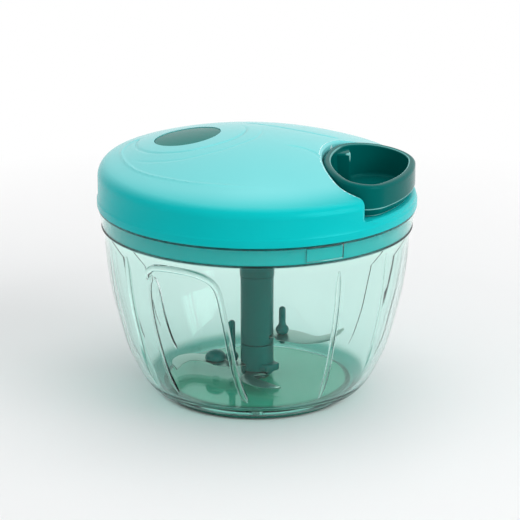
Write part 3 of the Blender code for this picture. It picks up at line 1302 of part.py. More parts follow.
def build():
    for old in list(bpy.data.objects):
        bpy.data.objects.remove(old, do_unlink=True)
    clear = material("clear_plastic", (0.72, 0.92, 0.84), 0.08, alpha=0.35)
    pad = material("base_rubber", (0.08, 0.42, 0.32), 0.6)
    teal = material("teal_plastic", (0.16, 0.70, 0.69), 0.25)
    dark = material("dark_green_plastic", (0.0, 0.13, 0.11), 0.25)
    steel = material("blade_steel", (0.72, 0.73, 0.72), 0.28, 1.0)
    natural = material("natural_plastic", (0.85, 0.84, 0.78), 0.4)
    string = material("cord", (0.9, 0.9, 0.88), 0.85)

    bowl_frame = empty("bowl_frame")
    lid_frame = empty("lid_frame")
    pull_frame = empty("pull_frame", lid_frame, PULL)
    reel_frame = empty("reel_frame", lid_frame)
    output_frame = empty("output_frame", lid_frame)
    blade_frame = empty("blade_frame", bowl_frame)

    make_bowl(clear, bowl_frame)
    make_base_pad(pad, bowl_frame)
    make_centre_pin(steel, bowl_frame)

    make_lid_cover(teal, lid_frame, pull_frame)
    make_lid_inlay(dark, lid_frame)
    make_lid_base(teal, lid_frame)
    for number, azimuth in enumerate(SCREW_AZIMUTHS, 1):
        make_lid_screw(number, azimuth, steel, lid_frame)
    make_reel_axle(steel, lid_frame)
    make_reel_washer(steel, lid_frame)
    make_cord_guide(natural, pull_frame)

    make_cord_reel(natural, reel_frame)
    make_spring_cap(natural, reel_frame)
    make_recoil_spring(steel, reel_frame)
    make_cord_winding(string, reel_frame)
    make_clutch_rotor(natural, output_frame)
    make_output_coupling(dark, output_frame)

    make_blade_column(dark, blade_frame)
    make_blade_hub(dark, blade_frame)
    peg_place = (PEG_PLACE, -PEG_SIDE)
    clip_place = (CLIP_PLACE, -CLIP_SIDE)
    make_blade(
        "blade_upper", UPPER_BLADE_REACH, UPPER_BLADE_SHARES, UPPER_BLADE_HEIGHT, UPPER_BLADE_TURN,
        [peg_place], steel, blade_frame,
    )
    make_blade(
        "blade_middle", MIDDLE_BLADE_REACH, MIDDLE_BLADE_SHARES, MIDDLE_BLADE_HEIGHT, MIDDLE_BLADE_TURN,
        [peg_place, clip_place], steel, blade_frame,
    )
    make_blade(
        "blade_lower", LOWER_BLADE_REACH, LOWER_BLADE_SHARES, LOWER_BLADE_HEIGHT, LOWER_BLADE_TURN,
        [], steel, blade_frame,
    )
    make_peg(
        "stirrer_peg_right", peg_place, UPPER_BLADE_HEIGHT, UPPER_BLADE_TURN, UPPER_PEG_HEIGHT,
        PEG_BASE_RADIUS, PEG_NUB_DROP, dark, blade_frame,
    )
    make_peg(
        "stirrer_peg_left", peg_place, MIDDLE_BLADE_HEIGHT, MIDDLE_BLADE_TURN, LOWER_PEG_HEIGHT,
        PEG_BASE_RADIUS, SHORT_NUB_DROP, dark, blade_frame,
    )
    make_clip(clip_place, dark, blade_frame)

    make_pull_handle(dark, pull_frame)
    make_cord_knot(string, pull_frame)
    make_pull_cord(string, pull_frame)


build()
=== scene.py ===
"""Looks of the pull cord food chopper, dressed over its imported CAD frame.

Meshes are drawn in millimetres and scaled when a piece is finished; angles are in degrees. The pull
frame is the world turned so that its +X is the way the cord is pulled.
"""

import math

import bmesh
import bpy
import numpy as np
from mathutils import Matrix, Vector


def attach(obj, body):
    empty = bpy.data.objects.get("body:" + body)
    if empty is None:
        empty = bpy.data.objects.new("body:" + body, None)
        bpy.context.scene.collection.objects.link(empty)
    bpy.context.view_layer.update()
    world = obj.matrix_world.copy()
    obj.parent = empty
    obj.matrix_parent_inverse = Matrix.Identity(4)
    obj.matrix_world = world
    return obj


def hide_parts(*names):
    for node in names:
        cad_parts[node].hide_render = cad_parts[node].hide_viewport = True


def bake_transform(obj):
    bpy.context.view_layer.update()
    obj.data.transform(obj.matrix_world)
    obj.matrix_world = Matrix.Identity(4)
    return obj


MM = 0.001
FINE = 176
PULL = -20.0
GAP = 0.3
ABOVE = 104.0

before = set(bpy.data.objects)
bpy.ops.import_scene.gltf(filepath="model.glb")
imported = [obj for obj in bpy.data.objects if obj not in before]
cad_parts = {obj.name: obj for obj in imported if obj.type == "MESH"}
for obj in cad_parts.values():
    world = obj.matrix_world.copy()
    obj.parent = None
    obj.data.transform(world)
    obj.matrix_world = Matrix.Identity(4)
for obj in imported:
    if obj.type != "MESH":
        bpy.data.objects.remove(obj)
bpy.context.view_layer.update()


# Camera at the photograph's viewpoint
lens = bpy.data.cameras.new("photo_view")
lens.lens = 166.15
lens.sensor_width = 36.0
camera = bpy.data.objects.new("photo_view", lens)
camera.location = (0.00111, -0.8655, 0.3249)
camera.rotation_euler = (math.radians(72.435), 0.0, 0.0)
bpy.context.scene.collection.objects.link(camera)
bpy.context.scene.camera = camera


# Shader maths

class Wire:
    """A value on its way through a material, with the usual operators."""

    def __init__(self, finish, socket):
        self.finish = finish
        self.socket = socket

    def joined(self, operation, *others):
        values = [self] + list(others)
        return self.finish.node("ShaderNodeMath", {"operation": operation}, dict(enumerate(values)))

    def __add__(self, other):
        return self.joined("ADD", other)

    def __sub__(self, other):
        return self.joined("SUBTRACT", other)

    def __rsub__(self, other):
        return self.finish.node("ShaderNodeMath", {"operation": "SUBTRACT"}, {0: other, 1: self})

    def __mul__(self, other):
        return self.joined("MULTIPLY", other)

    __radd__ = __add__
    __rmul__ = __mul__


class Finish:
    """A material or a sky in the making, on the shader that it starts with."""

    def __init__(self, name, roughness=None, metallic=0.0, owner=None, shader="Principled BSDF", **sockets):
        self.material = owner or bpy.data.materials.new(name)
        self.material.use_nodes = True
        self.tree = self.material.node_tree
        self.shader = self.tree.nodes[shader]
        if roughness is not None:
            self.shader.inputs["Roughness"].default_value = roughness
            self.shader.inputs["Metallic"].default_value = metallic
        for socket, value in sockets.items():
            self.shader.inputs[socket.replace("_", " ")].default_value = value

    def node(self, kind, settings, sockets, output=0):
        """Add a node: its settings first, then values or wires for its sockets."""
        made = self.tree.nodes.new(kind)
        for key, value in settings.items():
            setattr(made, key, value)
        for key, value in sockets.items():
            if isinstance(value, Wire):
                self.tree.links.new(value.socket, made.inputs[key])
            else:
                made.inputs[key].default_value = value
        return Wire(self, made.outputs[output])

    def feed(self, socket, wire):
        self.tree.links.new(wire.socket, self.shader.inputs[socket])

    def place(self, scale=(1.0, 1.0, 1.0), turn=0.0):
        """The piece's own coordinates, turned and scaled."""
        spot = self.node("ShaderNodeTexCoord", {}, {}, "Object")
        settings = {"Rotation": (0.0, 0.0, turn), "Scale": scale}
        return self.node("ShaderNodeMapping", {}, {"Vector": spot, **settings})

    def noise(self, spot, scale, detail=3.0, roughness=0.55):
        sockets = {"Vector": spot, "Scale": scale, "Detail": detail, "Roughness": roughness}
        return self.node("ShaderNodeTexNoise", {}, sockets)

    def parts(self, spot):
        return [self.node("ShaderNodeSeparateXYZ", {}, {"Vector": spot}, index) for index in range(3)]

    def span(self, across, back):
        """Length of a flat distance."""
        return (across * across + back * back).joined("SQRT")

    def blend(self, factor, first, second):
        """Mix two colours, each written out or a wire."""
        first, second = (value if isinstance(value, Wire) else (*value, 1.0) for value in (first, second))
        sockets = {0: factor, 6: first, 7: second}
        return self.node("ShaderNodeMix", {"data_type": "RGBA"}, sockets, 2)

    def surface(self, colour, roughness, height, strength, distance):
        """Feed the shader its colour, roughness and bump, and give the material."""
        self.feed("Base Color", colour)
        self.feed("Roughness", roughness)
        bump = {"Height": height, "Strength": strength, "Distance": distance}
        self.feed("Normal", self.node("ShaderNodeBump", {}, bump))
        return self.material

    def rays(self, *kinds):
        """1 for rays of these kinds, 0 for the rest."""
        path = [self.node("ShaderNodeLightPath", {}, {}, f"Is {kind} Ray") for kind in kinds]
        total = path[0]
        for ray in path[1:]:
            total = total.joined("MAXIMUM", ray)
        return total

    def ramp(self, value, start, end):
        """0 up to the start, 1 from the end, with soft ends."""
        settings = {"interpolation_type": "SMOOTHSTEP"}
        return self.node("ShaderNodeMapRange", settings, {"Value": value, "From Min": start, "From Max": end})

    def instead(self, factor, shader):
        """Show another shader in place of the piece's own where the factor is 1."""
        own = Wire(self, self.shader.outputs[0])
        mixed = self.node("ShaderNodeMixShader", {}, {0: factor, 1: own, 2: shader})
        self.tree.links.new(mixed.socket, self.tree.nodes["Material Output"].inputs["Surface"])


def moulded_plastic(name, deep, pale, roughness, ior, glint, *painted_highlights):
    """Moulded plastic: faint clouding, haze and a trace of orange peel, with painted highlights laid on by
    mask.
    """
    made = Finish(name, roughness, IOR=ior, Specular_Tint=(*glint, 1.0))
    spot = made.place()
    colour = made.blend(made.noise(spot, 38.0, 2.0), deep, pale)
    for highlight, mask in painted_highlights:
        colour = made.blend(mask(made), colour, highlight)
    haze = made.noise(spot, 160.0, 4.0) * 0.10 + (roughness - 0.05)
    return made.surface(colour, haze, made.noise(spot, 900.0, 2.0), 0.05, 0.00008)


# Where tints, painted highlights and painted shade fade in: heights and distances in metres, and how far a
# surface juts out at an edge
TOP_LIGHT_RISE = (0.0865, 0.0915)
JUTS_OUT = (0.515, 0.525)
POCKET_REACH, POCKET_RISE = (0.0468, 0.0474), (0.0870, 0.0890)
FOOT_REACH, FOOT_RISE = (0.0335, 0.0350), (0.0040, 0.0085)
BOSS_REACH, BOSS_RISE = (0.0046, 0.0052), (0.0034, 0.0040)
BEAD_FOOT, BEAD_HEAD, RIM_LINE = (0.0661, 0.0663), (0.0667, 0.0669), (0.0729, 0.0731)
PAD_EDGE = (0.0338, 0.0346)


def painted_top_light(made):
    """Painted highlight: the lid's top, painted paler where overhead light falls on it."""
    _, _, up = made.parts(made.place())
    return made.ramp(up, *TOP_LIGHT_RISE)


def painted_edge_highlight(made):
    """Painted highlight: outward edges are painted pale, where their rounds would catch the light."""
    return made.ramp(made.node("ShaderNodeNewGeometry", {}, {}, "Pointiness"), *JUTS_OUT)


def painted_pocket_highlight(made):
    """Painted highlight along the upper edge of the handle's pocket."""
    along, aside, up = made.parts(made.place(turn=math.radians(-PULL)))
    off_nose = made.span(along - NOSE[0] * MM, aside - NOSE[1] * MM)
    return painted_edge_highlight(made) * (1.0 - made.ramp(off_nose, *POCKET_REACH)) * made.ramp(up, *POCKET_RISE)


def thick_parts(made):
    """The bowl's foot and boss, where thick plastic looks deep green."""
    across, back, up = made.parts(made.place())
    reach = made.span(across, back)
    foot = made.ramp(reach, *FOOT_REACH) * (1.0 - made.ramp(up, *FOOT_RISE))
    boss = (1.0 - made.ramp(reach, *BOSS_REACH)) * (1.0 - made.ramp(up, *BOSS_RISE))
    return foot.joined("MAXIMUM", boss)


def painted_collar_shade(made):
    """Painted shade: dark lines round the collar, at its bead and just under the lid, standing in for the
    dark that refraction and the gap's shadow put there.
    """
    _, _, up = made.parts(made.place())
    bead = made.ramp(up, *BEAD_FOOT) * (1.0 - made.ramp(up, *BEAD_HEAD))
    return bead.joined("MAXIMUM", made.ramp(up, *RIM_LINE))


def clear_plastic():
    """Tinted clear plastic with faint flow lines. Lamps and bounced light reach what it holds."""
    made = Finish("clear_bowl_plastic", 0.01, IOR=1.33, Transmission_Weight=1.0)
    flow = made.noise(made.place((1.0, 1.0, 0.3)), 45.0, 2.0)
    tint = made.blend(flow, (0.785, 0.950, 0.912), (0.820, 0.962, 0.932))
    tint = made.blend(thick_parts(made), tint, (0.05, 0.38, 0.30))
    # Painted shade: the collar's dark lines.
    tint = made.blend(painted_collar_shade(made), tint, (0.01, 0.06, 0.06))
    film = made.node("ShaderNodeBsdfTransparent", {}, {"Color": (0.90, 0.975, 0.955, 1.0)})
    made.instead(made.rays("Shadow", "Diffuse"), film)
    return made.surface(tint, made.noise(made.place(), 120.0) * 0.02 + 0.002, flow, 0.04, 0.0003)


def brushed_steel(name, tone, scale, roughness):
    """Steel with fine grinding lines along the piece."""
    made = Finish(name, roughness, 1.0)
    lines = made.noise(made.place(scale), 60.0, 4.0, 0.7)
    smear = made.noise(made.place(), 90.0, 2.0)
    colour = made.blend(smear, [part * 0.82 for part in tone], tone)
    return made.surface(colour, lines * 0.22 + (roughness - 0.08), lines, 0.12, 0.00006)


def pad_rubber():
    made = Finish("base_pad_rubber", 0.42, IOR=1.4)
    spot = made.place()
    speck = made.noise(spot, 700.0)
    across, back, _ = made.parts(spot)
    # The pad's outer rim is painted dark green: partly its own darker rim, partly painted shade on the
    # flange, which faces sideways and down.
    edge = made.ramp(made.span(across, back), *PAD_EDGE)
    face = made.blend(made.noise(spot, 30.0, 2.0), (0.03, 0.38, 0.25), (0.05, 0.44, 0.30))
    colour = made.blend(edge, face, (0.004, 0.12, 0.09))
    return made.surface(colour, speck * 0.2 + 0.32, speck, 0.15, 0.0001)


def natural_nylon():
    made = Finish("natural_nylon", 0.45)
    spot = made.place()
    colour = made.blend(made.noise(spot, 70.0), (0.66, 0.64, 0.56), (0.76, 0.74, 0.67))
    return made.surface(colour, made.noise(spot, 240.0) * 0.2 + 0.36, made.noise(spot, 600.0), 0.1, 0.0001)


def braided_cord(centre, across, pitch):
    """Braided cord round a straight line along the pull: strands cross both ways."""
    made = Finish("braided_pull_cord", 0.8, IOR=1.45)
    along, aside, up = made.parts(made.place(turn=math.radians(-PULL)))
    angle = (aside - across).joined("ARCTAN2", up - centre)
    run = along * (math.tau / pitch)
    lay = (run + angle * 4.0).joined("SINE")
    strands = lay.joined("MAXIMUM", (run - angle * 4.0).joined("SINE"))
    colour = made.blend(strands * 0.5 + 0.5, (0.42, 0.43, 0.42), (0.86, 0.86, 0.83))
    return made.surface(colour, strands * 0.06 + 0.78, strands, 0.6, 0.00015)


# Mesh making

def turned(bm, azimuth=PULL):
    """Turn a mesh about the upright axis, by default from the pull frame to the world."""
    turn = Matrix.Rotation(math.radians(azimuth), 3, "Z")
    bmesh.ops.rotate(bm, verts=bm.verts[:], cent=(0.0, 0.0, 0.0), matrix=turn)
    return bm


def loose(bm, name):
    """A mesh as a bare object."""
    mesh = bpy.data.meshes.new(name)
    bm.to_mesh(mesh)
    bm.free()
    made = bpy.data.objects.new(name, mesh)
    bpy.context.scene.collection.objects.link(made)
    return made


def piece(name, bm, finish, body, node, crease=32.0):
    """Finish a mesh as one piece of the chopper, in place of the solid of a node."""
    bmesh.ops.scale(bm, vec=(MM, MM, MM), verts=bm.verts[:])
    made = loose(bm, name)
    made.data.shade_smooth()
    made.data.set_sharp_from_angle(angle=math.radians(crease))
    made.data.materials.append(finish)
    if body:
        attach(made, body)
    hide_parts(node)
    return made


def outward(bm):
    bmesh.ops.recalc_face_normals(bm, faces=bm.faces[:])
    return bm


def spun(section, segments=FINE, place=(0.0, 0.0)):
    """Spin (radius, height) points about an upright axis."""
    bm = bmesh.new()
    points = [bm.verts.new((radius, 0.0, height)) for radius, height in section]
    edges = [bm.edges.new(pair) for pair in zip(points, points[1:])]
    if section[0][0] or section[-1][0]:
        edges.append(bm.edges.new((points[-1], points[0])))
    bmesh.ops.spin(
        bm, geom=points + edges, cent=(0.0, 0.0, 0.0), axis=(0.0, 0.0, 1.0),
        angle=math.tau, steps=segments, use_merge=True,
    )
    bmesh.ops.remove_doubles(bm, verts=bm.verts[:], dist=MM)
    bmesh.ops.translate(bm, verts=bm.verts[:], vec=(*place, 0.0))
    return outward(bm)


def rounded(section, cuts):
    """Round chosen corners of a section: cuts maps a corner's index to its radius."""
    points = []
    for index, (radius, height) in enumerate(section):
        if index not in cuts:
            points.append((radius, height))
            continue
        corner = Vector((radius, height))
        before = (Vector(section[index - 1]) - corner).normalized()
        after = (Vector(section[(index + 1) % len(section)]) - corner).normalized()
        half = before.angle(after) / 2
        reach = cuts[index] / math.tan(half)
        start, end = corner + before * reach, corner + after * reach
        centre = corner + (before + after).normalized() * (cuts[index] / math.sin(half))
        for step in range(6):
            spoke = (start - centre).lerp(end - centre, step / 5).normalized()
            points.append(tuple(centre + spoke * cuts[index]))
    return points


def slab(outline, low, high):
    """Upright block over a flat outline."""
    bm = bmesh.new()
    base = bm.faces.new([bm.verts.new((x, y, low)) for x, y in outline])
    grown = bmesh.ops.extrude_face_region(bm, geom=[base])["geom"]
    top = [item for item in grown if isinstance(item, bmesh.types.BMVert)]
    bmesh.ops.translate(bm, verts=top, vec=(0.0, 0.0, high - low))
    return outward(bm)


def softened(bm, reach, chosen, steps=3):
    """Bevel the chosen edges."""
    bmesh.ops.bevel(
        bm, geom=[edge for edge in bm.edges if chosen(edge)], offset=reach, offset_type="OFFSET",
        segments=steps, profile=0.5, affect="EDGES", material=-1, clamp_overlap=True,
    )
    return bm


def level(edge):
    return abs(edge.verts[0].co.z - edge.verts[1].co.z) < MM


def bridged(rings):
    """Skin rings of points: the first ring's cap is extruded from ring to ring."""
    bm = bmesh.new()
    first = cap = bm.faces.new([bm.verts.new(point) for point in rings[0]])
    for ring in rings[1:]:
        grown = bmesh.ops.extrude_face_region(bm, geom=[cap])["geom"]
        if cap is not first:
            bmesh.ops.delete(bm, geom=[cap], context="FACES_ONLY")
        cap = next(item for item in grown if isinstance(item, bmesh.types.BMFace))
        for vert, point in zip(cap.verts, ring):
            vert.co = point
    return outward(bm)


def shaped(bm, **steps):
    """Join, trim or cut a mesh with others, in the order given, and return the result."""
    work = loose(bm, "work")
    helpers = []
    for step, others in steps.items():
        operation = {"join": "UNION", "keep": "INTERSECT", "cut": "DIFFERENCE"}[step]
        for other in others:
            helper = loose(other, "helper")
            helpers.append(helper)
            modifier = work.modifiers.new("shape", "BOOLEAN")
            modifier.operation = operation
            modifier.solver = "EXACT"
            modifier.object = helper
    done = work.evaluated_get(bpy.context.evaluated_depsgraph_get()).to_mesh()
    result = bmesh.new()
    result.from_mesh(done)
    for used in [work] + helpers:
        data = used.data
        bpy.data.objects.remove(used)
        bpy.data.meshes.remove(data)
    return result


def arc(centre, radius, start, end, steps):
    """Points on a round stretch, angles in radians."""
    turns = [start + (end - start) * step / steps for step in range(steps + 1)]
    return [(centre[0] + radius * math.cos(turn), centre[1] + radius * math.sin(turn)) for turn in turns]


def circle(radius, steps, centre=(0.0, 0.0)):
    return arc(centre, radius, 0.0, math.tau, steps)[:-1]


def oblong(left, front, right, back):
    return [(left, front), (right, front), (right, back), (left, back)]


def polar(radius, azimuth):
    return (radius * math.cos(math.radians(azimuth)), radius * math.sin(math.radians(azimuth)))


def sector(inner, outer, azimuth, width, low, high):
    """A block bent round the axis, width long at its outer side."""
    half = width / outer / 2
    middle = math.radians(azimuth)
    outline = arc((0.0, 0.0), outer, middle - half, middle + half, 10)
    outline += arc((0.0, 0.0), inner, middle + half, middle - half, 10)
    return slab(outline, low, high)


def smooth_line(points, steps):
    """A smooth curve through every point of a route."""
    route = [np.array(point, dtype=float) for point in points]
    ends = [2 * route[0] - route[1]] + route + [2 * route[-1] - route[-2]]
    line = []
    for index in range(len(route) - 1):
        before, start, end, after = ends[index:index + 4]
        for step in range(steps):
            t = step / steps
            line.append(0.5 * (
                2 * start + (end - before) * t + (2 * before - 5 * start + 4 * end - after) * t ** 2
                + (3 * start - before - 3 * end + after) * t ** 3
            ))
    return np.array(line + [route[-1]])


# Bowl

BOWL_FOOT, BOWL_FLOOR, BOWL_WALL = 2.1, 5.6, 2.0
FOOT_RADIUS, BODY_RADIUS, FLOOR_RADIUS = 37.5, 57.5, 33.7
COLLAR_FOOT, COLLAR_RIM, COLLAR_BORE, COLLAR_LOW, COLLAR_TOP = 66.0, 73.6, 56.6, 58.1, 59.7
COLLAR_BEAD = 0.45
PAD_ROOM, PAD_ROOF = 34.1, 3.6
PIN_BORE, PIN_SEAT, BOSS_RADIUS, BOSS_FOOT = 2.3, 2.8, 4.2, 1.0
LUG_AZIMUTHS, LUG_WIDTH, LUG_FOOT, LUG_TOP, LUG_REACH = (-65.0, 55.0, 175.0), 14.0, 67.6, 72.2, 57.2
BOWL_CURVE = (
    (0.0, 0.0), (0.027, 0.15), (0.088, 0.31), (0.177, 0.465), (0.297, 0.625),
    (0.448, 0.755), (0.628, 0.885), (0.809, 0.965), (1.0, 1.0),
)
FRONT_RODS = ((-58.0, -148.0), (9.5, 61.5), 2.1, 1.4)
BACK_RODS = ((32.0, 122.0), (9.5, 61.5), 2.1, 0.6)
FLUTES = ((-163.0, -33.0, -11.0, 11.0, 57.0, 147.0, 165.0), (16.0, 63.2), 1.5, 0.6)

# Grip outline on the front left: (azimuth, height) points, width and rise
GRIP_ARCH = (
    (-133.6, 57.4), (-132.6, 60.2), (-129.4, 62.0), (-122.0, 62.8), (-114.0, 62.6), (-108.6, 61.2),
    (-105.2, 58.6), (-103.6, 54.6), (-102.6, 49.0), (-101.4, 41.0), (-100.4, 33.0), (-99.2, 25.0),
    (-96.8, 16.0), (-94.6, 11.0),
)
GRIP_LEG = (
    (-131.2, 58.6), (-133.0, 54.8), (-133.3, 47.0), (-132.8, 36.0), (-131.8, 25.0), (-130.4, 16.0),
    (-129.4, 10.8),
)
GRIP_BRACE = ((-130.2, 58.2), (-128.4, 55.0), (-126.9, 44.0), (-125.0, 35.0), (-123.4, 31.2))
GRIPS = ((GRIP_ARCH, 2.5, 1.6), (GRIP_LEG, 2.3, 0.6), (GRIP_BRACE, 1.3, 0.8))


def bowl_radius(height):
    """Outer radius of the bowl's body."""
    share = min(max((height - BOWL_FOOT) / (COLLAR_FOOT - BOWL_FOOT), 0.0), 1.0)
    last = len(BOWL_CURVE) - 1
    index = max(0, min(last - 1, sum(1 for place, _ in BOWL_CURVE if place <= share) - 1))

    def slope(at):
        low, high = max(at - 1, 0), min(at + 1, last)
        return (BOWL_CURVE[high][1] - BOWL_CURVE[low][1]) / (BOWL_CURVE[high][0] - BOWL_CURVE[low][0])

    (start, first), (end, second) = BOWL_CURVE[index], BOWL_CURVE[index + 1]
    t = (share - start) / (end - start)
    reach = first + (second - first) * (3 * t ** 2 - 2 * t ** 3)
    reach += (end - start) * (slope(index) * (t ** 3 - 2 * t ** 2 + t) + slope(index + 1) * (t ** 3 - t ** 2))
    return FOOT_RADIUS + (BODY_RADIUS - FOOT_RADIUS) * reach


def bowl_lean(height):
    return (bowl_radius(height + 0.2) - bowl_radius(height - 0.2)) / 0.4


def wall_bead(route, width, proud, outside):
    """A low bead along (azimuth, height) points on the bowl's wall."""
    way = 1.0 if outside else -1.0
    inset = 0.0 if outside else BOWL_WALL
    places = []
    for azimuth, height in route:
        reach = bowl_radius(height) - inset * math.hypot(1.0, bowl_lean(height))
        places.append(Vector((*polar(reach, azimuth), height)))
    rings = []
    for index, (azimuth, height) in enumerate(route):
        along = (places[min(index + 1, len(places) - 1)] - places[max(index - 1, 0)]).normalized()
        out = Vector((*polar(1.0, azimuth), -bowl_lean(height))).normalized() * way
        across = along.cross(out).normalized()
        from_end = min(index, len(places) - 1 - index)
        taper = min(1.0, 0.35 + 0.3 * from_end)
        half, crest = width / 2 * taper, proud * taper
        section = [(-half, -GAP)]
        section += [(-half * math.cos(turn), crest * math.sin(turn)) for turn in np.linspace(0.0, math.pi, 9)]
        section += [(half, -GAP)]
        rings.append([places[index] + across * side + out * up for side, up in section])
    return bridged(rings)


def bowl_section():
    """Closed section of the bowl: floor, inside, collar, outside, and the recess for the pad."""
    heights = [BOWL_FOOT + (COLLAR_FOOT - BOWL_FOOT) * (step / 40) ** 1.4 for step in range(41)]
    outer = [(bowl_radius(height), height) for height in heights]
    inner = []
    for radius, height in outer:
        lean = bowl_lean(height)
        spread = BOWL_WALL / math.hypot(1.0, lean)
        if BOWL_FLOOR + BOWL_WALL * 0.8 < height + spread * lean < COLLAR_FOOT - BOWL_WALL:
            inner.append((radius - spread, height + spread * lean))
    start, end = Vector((FLOOR_RADIUS, BOWL_FLOOR)), Vector(inner[0])
    knee = Vector((inner[0][0] - 1.2, BOWL_FLOOR))
    cove = [tuple(start.lerp(knee, t).lerp(knee.lerp(end, t), t)) for t in np.linspace(0.0, 1.0, 7)[:-1]]
    collar = rounded([
        (COLLAR_BORE, COLLAR_FOOT), (COLLAR_BORE, COLLAR_RIM),
        (COLLAR_TOP, COLLAR_RIM), (COLLAR_LOW, COLLAR_FOOT),
    ], {1: 0.4, 2: 0.5})
    bead_height = COLLAR_FOOT + COLLAR_BEAD / 2
    bead = arc((COLLAR_LOW, bead_height), COLLAR_BEAD, 0.4 * math.pi, -0.55 * math.pi, 8)
    return (
        [(0.0, PIN_SEAT), (PIN_BORE, PIN_SEAT), (PIN_BORE, BOWL_FLOOR)] + cove + inner
        + [(BODY_RADIUS - BOWL_WALL, COLLAR_FOOT)] + collar[:-1] + bead
        + outer[:-1][::-1] + [(PAD_ROOM, BOWL_FOOT), (PAD_ROOM, PAD_ROOF)]
        + [(BOSS_RADIUS, PAD_ROOF), (BOSS_RADIUS, BOSS_FOOT), (0.0, BOSS_FOOT)]
    )


def make_bowl(finish):
    beads = []
    for azimuths, (low, high), width, proud in (FRONT_RODS, BACK_RODS, FLUTES):
        for azimuth in azimuths:
            route = [(azimuth, height) for height in np.linspace(low, high, 24)]
            beads.append(wall_bead(route, width, proud, False))
    for route, width, proud in GRIPS:
        beads.append(wall_bead([tuple(point) for point in smooth_line(route, 5)], width, proud, True))
    slots = [
        sector(COLLAR_BORE - BOWL_WALL, LUG_REACH + GAP, azimuth, LUG_WIDTH + 2 * GAP, LUG_FOOT - GAP, ABOVE)
        for azimuth in LUG_AZIMUTHS
    ]
    bowl = shaped(spun(bowl_section()), join=beads, cut=slots)
    return piece("clear_bowl", bowl, finish, "bowl", "bowl")


PAD_SECTION = (
    (4.3, 0.0), (34.1, 0.0), (35.9, 0.9), (36.2, 1.5), (35.9, 1.8), (33.8, 1.8), (33.8, 3.3), (4.3, 3.3),
)


def make_pad(finish):
    section = rounded(PAD_SECTION, {2: 0.3, 5: 0.3})
    return piece("pad_disc", spun(section), finish, "bowl", "base_pad")


# Lid

LID_RADIUS, LID_WALL, LIP_FOOT, LIP_TOP = 60.0, 59.6, 73.9, 76.6
CROWN_TOP, CROWN_RADIUS, SHOULDER, SHELL = 98.9, 164.4, 5.0, 2.0
CROWN_CENTRE = CROWN_TOP - CROWN_RADIUS
LEAN_FOOT, LEAN_RISE, LEAN_AZIMUTH = 80.0, 1.8, 148.0
CONTOUR_FOOT, UNDER_FOOT = CROWN_TOP - 13.0, 60.0
NOSE_RADIUS, OUTER_RADIUS, HANDLE_WALL, POCKET_GAP = 44.6, 59.1, 2.7, 0.6
NOSE = (69.9, 9.8)
HANDLE_DEPTH = OUTER_RADIUS + NOSE_RADIUS - math.hypot(*NOSE)
FRONT_CORNER, BACK_CORNER = HANDLE_DEPTH * 0.30, HANDLE_DEPTH * 0.478
HANDLE_FOOT, CUP_FLOOR, NOSE_TOP = 79.6, 81.1, 94.5
POCKET_FLOOR = HANDLE_FOOT - GAP
CORD_SIDE, CORD_HEIGHT, CORD_RADIUS, CORD_END, CORD_BLEND = 13.5, 86.8, 0.9, 26.8, (1.0, 26.0)
KNOT_START, KNOT_END, KNOT_RADIUS = 27.1, 30.1, 1.62
PILLAR_AZIMUTHS, PILLAR_CIRCLE, PILLAR_RADIUS, PILLAR_FOOT = (-80.0, 40.0, 160.0), 38.0, 3.6, 71.3
ARBOR_RADIUS, ARBOR_FOOT, AXLE_BORE, BORE_TOP = 3.7, 81.3, 2.2, 94.5
INLAY_CENTRE, INLAY_HALVES, INLAY_TURN, INLAY_SINK, INLAY_THICK = (-26.2, 10.0), (14.7, 12.1), 78.0, 0.2, 0.6
EDGE_ROUND, FLANK_ROUND, FLOOR_ROUND, LEDGE_ROUND = 1.2, 3.0, 1.0, 1.5
SCREW_HOLE, SCREW_HOLE_TOP = 1.5, 79.7
GUIDE_BOSS, GUIDE_SEAT, GUIDE_BORE, GUIDE_LENGTH = 4.1, 2.9, 1.2, 5.0


def corner_centre(radius, side):
    """Centre of the round corner between the handle's outer arc and its nose arc."""
    span = math.hypot(*NOSE)
    from_axis, from_nose = OUTER_RADIUS - radius, NOSE_RADIUS - radius
    along = (from_axis ** 2 - from_nose ** 2 + span ** 2) / (2 * span)
    aside = side * math.sqrt(from_axis ** 2 - along ** 2)
    return ((along * NOSE[0] - aside * NOSE[1]) / span, (along * NOSE[1] + aside * NOSE[0]) / span)


def heading(centre, origin=(0.0, 0.0)):
    return math.atan2(centre[1] - origin[1], centre[0] - origin[0])


FRONT, BACK = corner_centre(FRONT_CORNER, -1.0), corner_centre(BACK_CORNER, 1.0)
FRONT_TURN, BACK_TURN = heading(FRONT, NOSE) + math.tau, heading(BACK, NOSE)


def handle_outline(grow, steps=30):
    """The handle from above: outer arc, back corner, nose and front corner."""
    points = arc((0.0, 0.0), OUTER_RADIUS + grow, heading(FRONT), heading(BACK), steps)[:-1]
    points += arc(BACK, BACK_CORNER + grow, heading(BACK), BACK_TURN, steps)[:-1]
    points += arc(NOSE, NOSE_RADIUS + grow, BACK_TURN, FRONT_TURN, steps)[:-1]
    points += arc(FRONT, FRONT_CORNER + grow, FRONT_TURN, heading(FRONT) + math.tau, steps)[:-1]
    return points


